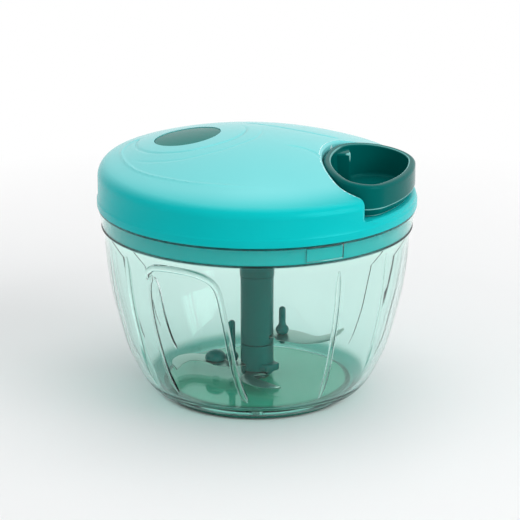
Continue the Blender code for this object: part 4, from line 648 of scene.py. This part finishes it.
def pocket_outline(grow, flare=0.0, steps=30):
    """The handle's room: nose and corners, then flanks that flare out through the lid's wall."""
    points = []
    for corner, radius, side in ((FRONT, FRONT_CORNER + grow, -1.0), (BACK, BACK_CORNER + grow, 1.0)):
        flank = corner[1] + side * radius
        stretch = [(LID_RADIUS + SHELL, flank)]
        if flare:
            centre_y = flank + side * flare
            centre = (math.sqrt((LID_WALL - flare) ** 2 - centre_y ** 2), centre_y)
            end = heading(centre) * 0.9 + side * math.pi / 2 * -0.1
            stretch = arc(centre, flare, side * -math.pi / 2, end, 8)
            stretch.append(tuple(Vector(stretch[-1]) * ((LID_RADIUS + 2 * SHELL) / stretch[-1][0])))
        points += stretch[::-1] if side > 0 else stretch
    back, nose, front = (
        arc(BACK, BACK_CORNER + grow, math.pi / 2, BACK_TURN, steps)[:-1],
        arc(NOSE, NOSE_RADIUS + grow, BACK_TURN, FRONT_TURN, steps)[:-1],
        arc(FRONT, FRONT_CORNER + grow, FRONT_TURN, 1.5 * math.pi, steps),
    )
    return points + back + nose + front


def lid_lean(x, y, z):
    """How much higher the leaning lid is at a point."""
    share = (np.array((x, y)).T @ np.array(polar(1.0, LEAN_AZIMUTH))) / LID_WALL
    return LEAN_RISE * share * np.clip((z - LEAN_FOOT) / (CROWN_TOP - LEAN_FOOT) * 2.0, 0.0, 1.0)


def shoulder_centre(inset=0.0):
    bend = max(SHOULDER - inset, SHOULDER / 4)
    across = LID_WALL - inset - bend
    return across, CROWN_CENTRE + math.sqrt((CROWN_RADIUS - inset - bend) ** 2 - across ** 2), bend


def crown(inset, rings, shoulder_rings):
    """Section of the lid's top from its middle to the wall."""
    radius = CROWN_RADIUS - inset
    across, up, bend = shoulder_centre(inset)
    turn = math.asin(across / (radius - bend))
    points = [
        (radius * math.sin(turn * step / rings), CROWN_CENTRE + radius * math.cos(turn * step / rings))
        for step in range(rings)
    ]
    for angle in np.linspace(turn, math.pi / 2, shoulder_rings + 1):
        points.append((across + bend * math.sin(angle), up + bend * math.cos(angle)))
    return points


def top_height(x, y):
    """Height of the lid's outer top over a point."""
    across, up, bend = shoulder_centre()
    reach = min(math.hypot(x, y), LID_WALL)
    if reach < across * CROWN_RADIUS / (CROWN_RADIUS - bend):
        height = CROWN_CENTRE + math.sqrt(CROWN_RADIUS ** 2 - reach ** 2)
    else:
        height = up + math.sqrt(max(bend ** 2 - (reach - across) ** 2, 0.0))
    return height + float(lid_lean(x, y, height))


# Contours moulded into the lid's top, as (x, y) points
PLATEAU_EDGE = (
    (-43.0, 24.0), (-47.6, 17.6), (-49.8, 11.1), (-50.8, 3.7), (-50.0, -4.3), (-48.2, -12.4),
    (-45.1, -20.1), (-41.4, -25.8), (-36.8, -30.6), (-28.7, -36.6), (-20.8, -40.6), (-9.2, -43.4),
    (1.1, -44.0), (12.0, -43.4),
)
INLAY_LOOP = (
    (-44.6, 21.6), (-45.6, 16.0), (-45.8, 10.4), (-44.6, 2.6), (-41.0, -4.9), (-37.6, -8.4), (-33.6, -10.9),
    (-27.5, -12.4), (-21.5, -11.4), (-13.6, -7.0), (-7.7, -0.5), (-4.7, 8.0), (-4.3, 16.2), (-6.7, 25.6),
)
FAINT_LOOP = (
    (-46.8, -10.4), (-41.4, -15.8), (-33.2, -19.4), (-25.3, -19.8), (-14.0, -15.4), (-6.0, -8.6),
    (-0.6, -1.3), (1.3, 5.4), (1.8, 12.1), (-0.2, 20.1),
)
BACK_LINE = ((-4.6, 31.0), (-0.4, 27.4), (5.6, 22.8), (12.9, 18.3), (22.5, 14.6), (31.7, 13.3))
SHORT_ARC = ((9.0, -8.2), (13.5, -8.3), (17.3, -9.4), (21.0, -12.3), (23.9, -17.2))

# Each line's half width, depth, and the shares of its length over which it fades in and out
GROOVES = (
    (INLAY_LOOP, 0.50, 0.36, 0.05, 0.12), (FAINT_LOOP, 0.60, 0.16, 0.15, 0.2),
    (BACK_LINE, 0.60, 0.38, 0.08, 0.05), (SHORT_ARC, 0.55, 0.32, 0.3, 0.05),
    (PLATEAU_EDGE, 0.50, -0.34, 0.08, 0.25),
)


def line_distance(points, line):
    """Distance from each point to a line, and how far along the line its foot lies."""
    best = np.full(len(points), 1e9)
    where = np.zeros(len(points))
    count = len(line) - 1
    for index in range(count):
        start, step = line[index], line[index + 1] - line[index]
        share = np.clip(((points - start) @ step) / (step @ step), 0.0, 1.0)
        offset = points - (start + share[:, None] * step)
        gap = np.hypot(offset[:, 0], offset[:, 1])
        where = np.where(gap < best, (index + share) / count, where)
        best = np.minimum(best, gap)
    return best, where


def moulded_lines(points):
    """Depth of the shallow contours at (x, y) points."""
    depth = np.zeros(len(points))
    for route, half, deep, start, end in GROOVES:
        gap, where = line_distance(points, smooth_line(route, 6))
        rise, fall = np.clip(where / start, 0.0, 1.0), np.clip((1.0 - where) / end, 0.0, 1.0)
        strength = rise ** 2 * (3 - 2 * rise) * fall ** 2 * (3 - 2 * fall)
        depth += deep * np.exp(-(gap / half) ** 2) * strength
    return depth


def leaned(bm, relief=False):
    """Lean a mesh as the lid leans, with the moulded contours on its top if asked."""
    spots = np.array([vert.co for vert in bm.verts])
    lift = lid_lean(spots[:, 0], spots[:, 1], spots[:, 2])
    if relief:
        top = spots[:, 2] > CONTOUR_FOOT
        lift[top] -= moulded_lines(spots[top, :2])
    for vert, rise in zip(bm.verts, lift):
        vert.co.z += rise
    return bm


def under_crown(inset, rings, segments=96):
    """Everything below the lid's top surface, set in by a depth."""
    section = crown(inset, rings, 8)
    return leaned(spun(section + [(section[-1][0], UNDER_FOOT), (0.0, UNDER_FOOT)], segments))


def pocket_cutter():
    """What the handle's room takes out of the lid, with its foot and its upper edge rounded."""
    base = [Vector(point) for point in pocket_outline(POCKET_GAP, FLANK_ROUND)]
    count = len(base)
    away = []
    for index in range(count):
        along = base[(index + 1) % count] - base[index - 1]
        away.append(Vector((along.y, -along.x)).normalized())
    turn = Matrix.Rotation(math.radians(PULL), 2)
    rings = []
    for angle in np.linspace(0.0, math.pi / 2, 5):
        grow, rise = -FLOOR_ROUND * (1 - math.sin(angle)), FLOOR_ROUND * (1 - math.cos(angle))
        rings.append([(*(spot + out * grow), POCKET_FLOOR + rise) for spot, out in zip(base, away)])
    for angle in np.radians((0.0, 15.0, 30.0, 45.0, 60.0, 72.0)):
        grow, drop = EDGE_ROUND * (1 - math.cos(angle)), EDGE_ROUND * (1 - math.sin(angle))
        ring = [spot + out * grow for spot, out in zip(base, away)]
        rings.append([(*spot, top_height(*(turn @ spot)) - drop) for spot in ring])
    rings.append([(x, y, ABOVE) for x, y, _ in rings[-1]])
    return turned(bridged(rings))


def ledge_cutter():
    """Rounds the pocket's floor down into the lid's wall."""
    inner, foot = LID_WALL - LEDGE_ROUND, POCKET_FLOOR - LEDGE_ROUND
    section = [(inner, POCKET_FLOOR + GAP)] + arc((inner, foot), LEDGE_ROUND, math.pi / 2, 0.0, 7)
    section += [(LID_RADIUS + SHELL, foot), (LID_RADIUS + SHELL, POCKET_FLOOR + GAP)]
    room = turned(slab(pocket_outline(POCKET_GAP - FLOOR_ROUND / 2), foot - SHELL, ABOVE))
    return shaped(spun(section, 240), keep=[room])


def along_cord(section):
    """Spin (radius, distance) points about the cord's line, in the world."""
    bm = spun(section, 32)
    lie = Matrix.Rotation(math.pi / 2, 3, "Y")
    bmesh.ops.rotate(bm, verts=bm.verts[:], cent=(0.0, 0.0, 0.0), matrix=lie)
    bmesh.ops.translate(bm, verts=bm.verts[:], vec=(0.0, CORD_SIDE, CORD_HEIGHT))
    return turned(bm)


def rod(radius, start, end):
    return along_cord([(0.0, start), (radius, start), (radius, end), (0.0, end)])


def at_screws(radius, low, high, steps):
    """Upright rounds at the three screws."""
    centres = [polar(PILLAR_CIRCLE, azimuth) for azimuth in PILLAR_AZIMUTHS]
    return [slab(circle(radius, steps, centre), low, high) for centre in centres]


def make_lid(finish):
    section = crown(0.0, 118, 16) + rounded([
        (LID_WALL, LIP_TOP + 0.8), (LID_RADIUS, LIP_TOP), (LID_RADIUS, LIP_FOOT), (0.0, LIP_FOOT),
    ], {1: 0.3, 2: 0.35})
    shell = leaned(spun(section, 448), relief=True)
    nose_face = NOSE[0] - math.sqrt((NOSE_RADIUS + POCKET_GAP) ** 2 - (CORD_SIDE - NOSE[1]) ** 2)
    seat = nose_face - SHELL - GUIDE_LENGTH
    solid = [
        turned(slab(pocket_outline(POCKET_GAP + SHELL), POCKET_FLOOR - SHELL, ABOVE)),
        slab(circle(ARBOR_RADIUS, 40), ARBOR_FOOT, ABOVE), rod(GUIDE_BOSS, seat, nose_face),
    ] + at_screws(PILLAR_RADIUS, PILLAR_FOOT, ABOVE, 32)
    hollow = shaped(under_crown(SHELL, 24), cut=solid)
    recess = shaped(
        slab(inlay_outline(GAP), HANDLE_FOOT, ABOVE), cut=[under_crown(INLAY_SINK + INLAY_THICK + GAP, 30)]
    )
    shell = shaped(shell, cut=[
        pocket_cutter(), ledge_cutter(), hollow, recess,
        slab(circle(AXLE_BORE, 32), ARBOR_FOOT - SHELL, BORE_TOP),
        rod(GUIDE_SEAT, seat - SHELL, nose_face - SHELL), rod(GUIDE_BORE, seat - SHELL, nose_face + SHELL),
    ] + at_screws(SCREW_HOLE, PILLAR_FOOT - SHELL, SCREW_HOLE_TOP, 24))
    return piece("lid_shell", shell, finish, "lid", "lid_cover", crease=38.0)


def inlay_outline(grow, steps=96):
    outline = [(x * (INLAY_HALVES[0] + grow), y * (INLAY_HALVES[1] + grow)) for x, y in circle(1.0, steps)]
    turn = Matrix.Rotation(math.radians(INLAY_TURN), 2)
    return [tuple(turn @ Vector(point) + Vector(INLAY_CENTRE)) for point in outline]


def make_inlay(finish):
    """Dark oval plate that follows the crown."""
    plate = shaped(
        slab(inlay_outline(0.0), HANDLE_FOOT, ABOVE), keep=[under_crown(INLAY_SINK, 90, FINE)],
        cut=[under_crown(INLAY_SINK + INLAY_THICK, 40)],
    )
    return piece("inlay_plate", plate, finish, "lid", "lid_inlay")


SKIRT_SECTION = (
    (4.7, 66.3), (56.3, 66.3), (56.3, 74.2), (57.3, 74.2), (57.3, 77.0), (55.3, 77.0), (54.5, 73.9),
    (54.5, 68.3), (7.8, 68.3), (7.8, 70.0), (4.7, 70.0),
)
LUG_ROOT = 55.4

# Radius, foot, top and steps of a screw's boss and of the rooms for its head and its shank
SCREW_BOSS, SCREW_HEAD = (4.8, 66.7, 71.0, 36), (3.1, 64.0, 68.4, 36)
SCREW_SHANK = (SCREW_HOLE, 66.0, 73.0, 24)


def make_lid_skirt(finish):
    """Plate and skirt below the lid, with its lugs and screw bosses."""
    section = rounded(SKIRT_SECTION, {1: 0.7, 8: 0.5, 9: 0.4})
    lugs = [sector(LUG_ROOT, LUG_REACH, azimuth, LUG_WIDTH, LUG_FOOT, LUG_TOP) for azimuth in LUG_AZIMUTHS]
    rooms = at_screws(*SCREW_HEAD) + at_screws(*SCREW_SHANK)
    skirt = shaped(spun(section), join=lugs + at_screws(*SCREW_BOSS), cut=rooms)
    return piece("lid_skirt", skirt, finish, "lid", "lid_base")


# Handle and cord

CHAMFER, CHAMFER_TOP, DRAFT = 1.8, 82.5, 0.7
CHAMFER_STEPS = ((0.92, -2.65), (0.63, -1.7), (0.35, -0.9), (0.06, -0.1))  # share of it, height from its top
RIM_ROUND, RIM_INNER, WELL_ROUND, RIM_SLOPE = 1.3, 0.7, 1.4, 0.12
ANCHOR_TURN, ANCHOR_BEYOND, ANCHOR_FRONT, ANCHOR_BACK, ANCHOR_SINK = 20.0, 3.5, 3.1, 19.0, 0.9
QUARTER, FINE_QUARTER = (np.radians(np.linspace(0.0, 90.0, steps)) for steps in (6, 13))
NEAR_EDGE, WELL_DEPTH = (0.35, 0.8), 13.0  # rings close to an edge keep its painted highlight narrow


def rim_height(x):
    return NOSE_TOP - RIM_SLOPE * (x - (NOSE[0] - NOSE_RADIUS))


def handle_rings():
    """Rings of the cup's skin: up its outside, over the sloping rim and down to its floor."""
    outside = [(-CHAMFER - 0.4, HANDLE_FOOT), (-CHAMFER, HANDLE_FOOT + 0.05)]
    outside += [(-CHAMFER * share, CHAMFER_TOP + rise) for share, rise in CHAMFER_STEPS]
    outside += [(0.0, CHAMFER_TOP + 0.1 + away) for away in (0.0,) + NEAR_EDGE]
    rim = [(-RIM_ROUND * (1 - math.cos(a)), RIM_ROUND * (1 - math.sin(a))) for a in FINE_QUARTER]
    flat = HANDLE_WALL - RIM_INNER
    rim += [(-flat - RIM_INNER * math.cos(a), RIM_INNER * (1 - math.sin(a))) for a in QUARTER[::-1]]
    rim += [(-HANDLE_WALL - DRAFT * away / WELL_DEPTH, RIM_INNER + away) for away in NEAR_EDGE]
    well, low = HANDLE_WALL + DRAFT, CUP_FLOOR
    inside = [(-well - WELL_ROUND * (1 - math.cos(a)), low + WELL_ROUND * (1 - math.sin(a))) for a in QUARTER]
    rings = [[(x, y, height) for x, y in handle_outline(grow)] for grow, height in outside]
    rings += [[(x, y, rim_height(x) - drop) for x, y in handle_outline(grow)] for grow, drop in rim]
    return rings + [[(x, y, height) for x, y in handle_outline(grow)] for grow, height in inside]


def anchor_outline():
    """The cord's anchor from above: a block from the knot to the back wall, turned against the pull."""
    turn = Matrix.Rotation(math.radians(ANCHOR_TURN), 2)
    middle = Vector(((KNOT_START + KNOT_END) / 2, CORD_SIDE))
    corners = oblong(-HANDLE_DEPTH / 2, -ANCHOR_FRONT, ANCHOR_BEYOND, ANCHOR_BACK)
    return [tuple(middle + turn @ Vector(corner)) for corner in corners]


def make_handle(finish):
    """Finger cup with the cord's anchor in its nose."""
    anchor_top = rim_height(KNOT_END + ANCHOR_BEYOND) - ANCHOR_SINK
    anchor = slab(anchor_outline(), CUP_FLOOR - GAP, anchor_top)
    softened(anchor, 0.9, lambda edge: max(vert.co.z for vert in edge.verts) > anchor_top - 1, 4)
    anchor = shaped(anchor, keep=[slab(handle_outline(-HANDLE_WALL / 2), HANDLE_FOOT, ABOVE)])
    half = KNOT_RADIUS + GAP
    outline = oblong(KNOT_START - GAP, CORD_SIDE - half, KNOT_END + GAP, CORD_SIDE + half)
    room = slab(outline, HANDLE_FOOT - SHELL, CORD_HEIGHT + half)
    cup = turned(shaped(bridged(handle_rings()), join=[anchor], cut=[room]))
    cup = shaped(cup, cut=[rod(CORD_RADIUS + GAP, 20.0, KNOT_END)])
    return piece("finger_cup", cup, finish, "handle", "pull_handle", crease=38.0)


def make_lead(finish):
    """The free cord, which pays out from the drum as the handle goes."""
    rings = []
    for place in np.linspace(GAP, CORD_END, 41):
        rings.append([(place, CORD_SIDE + y, CORD_HEIGHT + z) for y, z in circle(CORD_RADIUS, 14)])
    made = piece("lead_cord", turned(bridged(rings)), finish, None, "pull_cord")
    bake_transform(made)
    return made


def make_knot(finish):
    """Overhand knot drawn tight: a fat twist with two lobes."""
    section = [(0.0, KNOT_START)]
    for share in np.linspace(0.0, 1.0, 17)[1:-1]:
        swell = math.sin(math.pi * share) ** 0.45 * (1.0 - 0.12 * math.cos(4 * math.pi * share) ** 2)
        section.append((KNOT_RADIUS * swell, KNOT_START + (KNOT_END - KNOT_START) * share))
    section.append((0.0, KNOT_END))
    return piece("cord_end_knot", along_cord(section), finish, "handle", "cord_knot")


# Column, hub, blades and pegs

SLEEVE_RADIUS, SLEEVE_FOOT, SLEEVE_TOP, DOG_FOOT, DOG_RADIUS, DOG_ROOM = 6.45, 46.4, 66.0, 37.4, 3.9, 4.5
SHAFT_RADIUS, SHAFT_TOP, SHAFT_HEX, SHAFT_BORE = 4.0, 73.7, (70.3, 73.3), (2.2, 60.3)
COLUMN_RADIUS, COLUMN_FOOT, COLUMN_TOP, HUB_FOOT = 6.3, 18.4, 46.1, 6.2
SPIGOT, SPIGOT_FOOT, PIN_ROOM_TOP = 4.4, 13.7, 16.6
UPPER, MIDDLE, LOWER = (21.5, 33.3, 0.0), (10.2, 33.3, 183.0), (7.5, 22.5, -95.0)
PEG_PLACE, CLIP_PLACE = (9.6, -1.0), (15.8, -3.0)

# Blades from above, in shares of their reach, row by row from root to tip: hollow edge along and aside,
# rounded edge along and aside, lift
UPPER_BLADE = (
    (0.215, 0.190, 0.215, -0.210, 0.0), (0.290, 0.170, 0.290, -0.235, 0.0),
    (0.380, 0.138, 0.370, -0.275, 0.0), (0.490, 0.078, 0.480, -0.322, 0.0),
    (0.590, -0.010, 0.590, -0.338, 0.0), (0.690, -0.092, 0.690, -0.325, 0.005),
    (0.790, -0.068, 0.800, -0.285, 0.014), (0.870, -0.026, 0.880, -0.195, 0.024),
    (0.940, 0.016, 0.950, -0.095, 0.036), (0.990, 0.046, 1.000, 0.020, 0.046),
)
MIDDLE_BLADE = (
    (0.213, 0.126, 0.213, -0.138, 0.0), (0.315, 0.150, 0.315, -0.162, 0.0),
    (0.405, 0.138, 0.405, -0.198, 0.0), (0.495, 0.072, 0.498, -0.246, 0.0),
    (0.586, -0.030, 0.595, -0.294, 0.0), (0.685, -0.078, 0.703, -0.330, 0.0),
    (0.772, -0.078, 0.811, -0.320, 0.0), (0.844, 0.012, 0.907, -0.250, 0.0),
    (0.886, 0.108, 0.967, -0.126, 0.0), (0.913, 0.186, 0.979, 0.018, 0.0), (0.925, 0.228, 0.955, 0.138, 0.0),
)
LOWER_BLADE = (
    (0.310, 0.089, 0.310, -0.196, 0.0), (0.382, -0.009, 0.427, -0.222, 0.0),
    (0.462, -0.009, 0.560, -0.231, 0.0), (0.551, 0.076, 0.680, -0.187, 0.0),
    (0.618, 0.151, 0.782, -0.089, 0.0), (0.680, 0.227, 0.867, 0.040, 0.0),
    (0.756, 0.324, 0.924, 0.187, 0.0), (0.836, 0.418, 0.929, 0.338, 0.0), (0.876, 0.471, 0.902, 0.449, 0.0),
)
TANG = ((3.4, 4.0, 3.4, -4.0, 0.0), (6.6, 4.0, 6.6, -4.0, 0.0))

# Section of a blade across its width: share across, height from its middle
GROUND = (
    (0.0, -0.08), (0.2, -0.4), (0.8, -0.4), (1.0, -0.08), (1.0, 0.08), (0.8, 0.4), (0.2, 0.4), (0.0, 0.08),
)

# The hub's pointed fin from above, its foot and top, and the room for a blade's tang
FIN = ((4.8, 0.9), (6.4, -0.6), (8.1, -3.0), (8.4, -3.8), (8.0, -4.7), (6.5, -6.2), (3.7, -7.5), (0.9, -6.7))
FIN_FOOT, FIN_TOP = 8.6, 11.2
SLOT_HALF, SLOT_START, SLOT_END, SLOT_RISE = 4.3, 3.1, 8.3, 0.7
PEG_HOLE, PEG_STEM = 1.3, 1.28


def make_coupling(finish):
    section = rounded([
        (0.0, SLEEVE_FOOT), (SLEEVE_RADIUS, SLEEVE_FOOT), (SLEEVE_RADIUS, SLEEVE_TOP),
        (SHAFT_RADIUS, SLEEVE_TOP), (SHAFT_RADIUS, SHAFT_TOP), (0.0, SHAFT_TOP),
    ], {1: 0.5, 2: 0.4})
    dogs = [slab(circle(DOG_RADIUS, 6), DOG_FOOT, SLEEVE_FOOT + GAP), slab(circle(SPIGOT, 6), *SHAFT_HEX)]
    bore, bore_foot = SHAFT_BORE
    body = shaped(spun(section, 96), join=dogs, cut=[slab(circle(bore, 32), bore_foot, SHAFT_TOP + SHELL)])
    return piece("drive_sleeve", body, finish, "output", "output_coupling")


def tang_slot(blade):
    height, _, turn = blade
    outline = oblong(SLOT_START, -SLOT_HALF, SLOT_END, SLOT_HALF)
    return turned(slab(outline, height - SLOT_RISE, height + SLOT_RISE), turn)


def make_column(finish):
    section = rounded([
        (0.0, COLUMN_TOP), (COLUMN_RADIUS, COLUMN_TOP), (COLUMN_RADIUS, COLUMN_FOOT + GAP),
        (SPIGOT, COLUMN_FOOT + GAP), (SPIGOT, SPIGOT_FOOT), (PIN_BORE, SPIGOT_FOOT),
        (PIN_BORE, PIN_ROOM_TOP), (0.0, PIN_ROOM_TOP),
    ], {1: 0.5, 2: 0.35})
    dog_room = slab(circle(DOG_ROOM, 6), DOG_FOOT - GAP, COLUMN_TOP + SHELL)
    body = shaped(spun(section, 96), cut=[dog_room, tang_slot(UPPER)])
    return piece("column_tube", body, finish, "blade_unit", "blade_column")


def make_hub(finish):
    section = rounded([
        (PIN_BORE, HUB_FOOT), (COLUMN_RADIUS, HUB_FOOT), (COLUMN_RADIUS, COLUMN_FOOT),
        (SPIGOT + GAP, COLUMN_FOOT), (SPIGOT + GAP, SPIGOT_FOOT - GAP), (PIN_BORE, SPIGOT_FOOT - GAP),
    ], {1: 0.5, 2: 0.35})
    outline = [tuple(point) for point in smooth_line(FIN, 4)] + [(0.9, -4.9), (3.5, -3.4)]
    fin = softened(slab(outline, FIN_FOOT, FIN_TOP), 0.5, level, 2)
    body = shaped(spun(section, 96), join=[fin], cut=[tang_slot(MIDDLE), tang_slot(LOWER)])
    return piece("hub_tube", body, finish, "blade_unit", "blade_hub")


def make_blade(name, node, table, blade, holes, finish):
    """Ground steel blade: stations from its table, read as smooth curves."""
    height, reach, turn = blade
    rings = []
    for near_x, near_y, far_x, far_y, lift in TANG + tuple(smooth_line(np.array(table) * reach, 4)):
        near, far = Vector((near_x, near_y, height + lift)), Vector((far_x, far_y, height + lift))
        rings.append([near.lerp(far, share) + Vector((0.0, 0.0, up)) for share, up in GROUND])
    made = bridged(rings)
    if holes:
        cutters = [slab(circle(PEG_HOLE, 20, hole), height - SHELL, height + SHELL) for hole in holes]
        made = shaped(made, cut=cutters)
    return piece(name, turned(made, turn), finish, "blade_unit", node, crease=18.0)


def make_peg(name, node, blade, tall, drop, finish):
    """Stem with a ball foot, clipped through its blade."""
    height, _, turn = blade
    top, under, stem = height + SLOT_RISE, height - SLOT_RISE, PEG_STEM
    section = [(0.0, under - drop), (0.9, under - drop + 0.15), (1.35, under - drop * 0.6), (1.4, under)]
    section += [(1.0, under), (1.0, top), (1.9, top), (2.2, top + 0.35)]
    section += [(2.5 * math.cos(a), top + 1.6 + 2.0 * math.sin(a)) for a in np.linspace(-0.5, 0.85, 9)]
    section += [(1.42, top + 3.6), (stem, top + 4.4), (stem, top + tall - stem)]
    section += [
        (stem * math.cos(a), top + tall + stem * (math.sin(a) - 1)) for a in np.linspace(0.3, 1.35, 5)
    ]
    section.append((0.0, top + tall))
    made = turned(spun(section, 40, PEG_PLACE), turn)
    return piece(name, made, finish, "blade_unit", node)


def make_clip(blade, finish):
    """Domed clip on the middle blade."""
    height, _, turn = blade
    top, under = height + SLOT_RISE, height - SLOT_RISE
    section = [(0.0, under - 1.2), (1.2, under - 1.2), (1.4, under - 0.9), (1.4, under), (1.0, under)]
    section += [(1.0, top), (4.0, top)]
    section += [(4.1 * math.cos(a), top + 0.2 + 3.4 * math.sin(a)) for a in np.linspace(0.0, 1.45, 12)]
    section.append((0.0, top + 3.6))
    made = turned(spun(section, 56, CLIP_PLACE), turn)
    return piece("domed_clip", made, finish, "blade_unit", "blade_clip")


# Finishes
clear = clear_plastic()
AQUA, SEA, POCKET_HIGHLIGHT_TEAL, EDGE_HIGHLIGHT_GREEN = (0.15, 1.0, 1.0), (0.2, 1.0, 0.95), (0.62, 0.88, 0.88), (0.20, 0.52, 0.50)
# The lid's finish carries painted highlights: a paler top, and a pale line along the pocket's upper edge.
teal = moulded_plastic(
    "lid_teal_plastic", (0.0, 0.462, 0.474), (0.004, 0.492, 0.504), 0.22, 1.30, AQUA,
    ((0.170, 0.620, 0.630), painted_top_light), (POCKET_HIGHLIGHT_TEAL, painted_pocket_highlight),
)
skirt_teal = moulded_plastic(
    "skirt_teal_plastic", (0.0, 0.430, 0.445), (0.002, 0.460, 0.475), 0.26, 1.25, AQUA
)
dark = moulded_plastic("dark_green_plastic_gloss", (0.0, 0.112, 0.098), (0.0, 0.130, 0.115), 0.20, 1.28, SEA)
# The handle's outward edges carry a painted highlight.
handle_dark = moulded_plastic(
    "handle_green_plastic", (0.0, 0.100, 0.092), (0.0, 0.116, 0.107), 0.15, 1.16, SEA,
    (EDGE_HIGHLIGHT_GREEN, painted_edge_highlight),
)
inlay = moulded_plastic("inlay_gloss", (0.0, 0.165, 0.142), (0.0, 0.190, 0.165), 0.22, 1.11, SEA)
blade_steel = brushed_steel("blade_ground_steel", (0.42, 0.52, 0.47), (1.0, 14.0, 14.0), 0.30)
plain_steel = brushed_steel("plain_steel", (0.60, 0.60, 0.59), (10.0, 10.0, 1.0), 0.28)
rubber = pad_rubber()
nylon = natural_nylon()
cord = braided_cord(CORD_HEIGHT * MM, CORD_SIDE * MM, 2.4 * MM)

make_lead(cord)
make_knot(cord)
make_bowl(clear)
make_pad(rubber)
make_lid(teal)
make_inlay(inlay)
make_lid_skirt(skirt_teal)
make_coupling(dark)
make_column(dark)
make_hub(dark)
make_blade("steel_blade_upper", "blade_upper", UPPER_BLADE, UPPER, [PEG_PLACE], blade_steel)
make_blade("steel_blade_middle", "blade_middle", MIDDLE_BLADE, MIDDLE, [PEG_PLACE, CLIP_PLACE], blade_steel)
make_blade("steel_blade_lower", "blade_lower", LOWER_BLADE, LOWER, [], blade_steel)
make_peg("peg_right", "stirrer_peg_right", UPPER, 10.7, 2.6, dark)
make_peg("peg_left", "stirrer_peg_left", MIDDLE, 16.0, 1.2, dark)
make_clip(MIDDLE, dark)
make_handle(handle_dark)

# Inner pieces keep their CAD meshes
INNER = {
    "plain_steel": (
        "centre_pin", "reel_axle", "reel_washer", "recoil_spring",
        "lid_screw_1", "lid_screw_2", "lid_screw_3",
    ),
    "natural_nylon": ("cord_guide", "cord_reel", "spring_cap", "clutch_rotor"),
    "braided_pull_cord": ("cord_winding",),
}
for finish, names in INNER.items():
    for name in names:
        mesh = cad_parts[name].data
        mesh.materials.clear()
        mesh.materials.append(bpy.data.materials[finish])


# Floor, sky and lamps

FLOOR_REACH, FLOOR_FRONT, FLOOR_BACK, SWEEP, BACK_TOP = 4.0, -3.0, 1.2, 0.8, 3.0
WHITE_FROM, WHITE_SLOPE = 0.16, 5.0
LAMP_TARGET = Vector((0.0, 0.0, 0.06))


def floor_finish():
    """Pale floor that runs out to plain white away from the chopper and its shadow."""
    made = Finish("pale_floor", 0.6, IOR=1.3)
    spot = made.place()
    made.feed("Base Color", made.blend(made.noise(spot, 3.0, 2.0), (0.81, 0.81, 0.81), (0.84, 0.84, 0.84)))
    across, back, _ = made.parts(spot)
    far = (made.span(across, back) - WHITE_FROM) * WHITE_SLOPE
    far = far.joined("MINIMUM", 1.0).joined("MAXIMUM", 0.0)
    white = made.node("ShaderNodeEmission", {}, {"Color": (1.0, 1.0, 1.0, 1.0), "Strength": 1.0})
    made.instead(made.rays("Camera", "Glossy", "Transmission") * far, white)
    return made.material


def make_floor():
    """Pale sweep: a floor that curves up far behind."""
    bm = bmesh.new()
    profile = [(FLOOR_FRONT, 0.0), (FLOOR_BACK, 0.0)]
    profile += arc((FLOOR_BACK, SWEEP), SWEEP, -math.pi / 2 + 0.1, 0.0, 14) + [(FLOOR_BACK + SWEEP, BACK_TOP)]
    verts = [bm.verts.new((-FLOOR_REACH, back, up)) for back, up in profile]
    edges = [bm.edges.new(pair) for pair in zip(verts, verts[1:])]
    grown = bmesh.ops.extrude_edge_only(bm, edges=edges)["geom"]
    moved = [item for item in grown if isinstance(item, bmesh.types.BMVert)]
    bmesh.ops.translate(bm, verts=moved, vec=(2 * FLOOR_REACH, 0.0, 0.0))
    made = loose(outward(bm), "floor")
    made.data.shade_smooth()
    made.data.materials.append(floor_finish())


def lamp(name, place, size, power):
    """Soft square lamp that looks at the chopper."""
    light = bpy.data.lights.new(name, "AREA")
    light.energy = power
    light.size = size
    made = bpy.data.objects.new(name, light)
    made.location = place
    made.rotation_euler = (LAMP_TARGET - Vector(place)).to_track_quat("-Z", "Y").to_euler()
    bpy.context.scene.collection.objects.link(made)


def make_sky():
    """Even studio sky, brighter overhead, and white where it is seen or mirrored."""
    world = bpy.data.worlds.new("studio")
    made = Finish("studio", owner=world, shader="Background", Strength=1.0)
    _, _, up = made.parts(made.node("ShaderNodeTexCoord", {}, {}, "Generated"))
    sky = made.blend(up.joined("MAXIMUM", 0.0), (0.44, 0.445, 0.45), (0.74, 0.745, 0.75))
    made.feed("Color", made.blend(made.rays("Camera", "Glossy", "Transmission"), sky, (1.0, 1.0, 1.0)))
    bpy.context.scene.world = world


make_floor()
make_sky()
lamp("key", (1.1, -0.75, 0.75), 1.0, 12.0)
lamp("fill", (-1.0, -0.6, 0.7), 1.0, 1.0)
lamp("top", (0.15, 0.2, 1.25), 1.1, 5.0)
bpy.context.scene.view_settings.view_transform = "Standard"
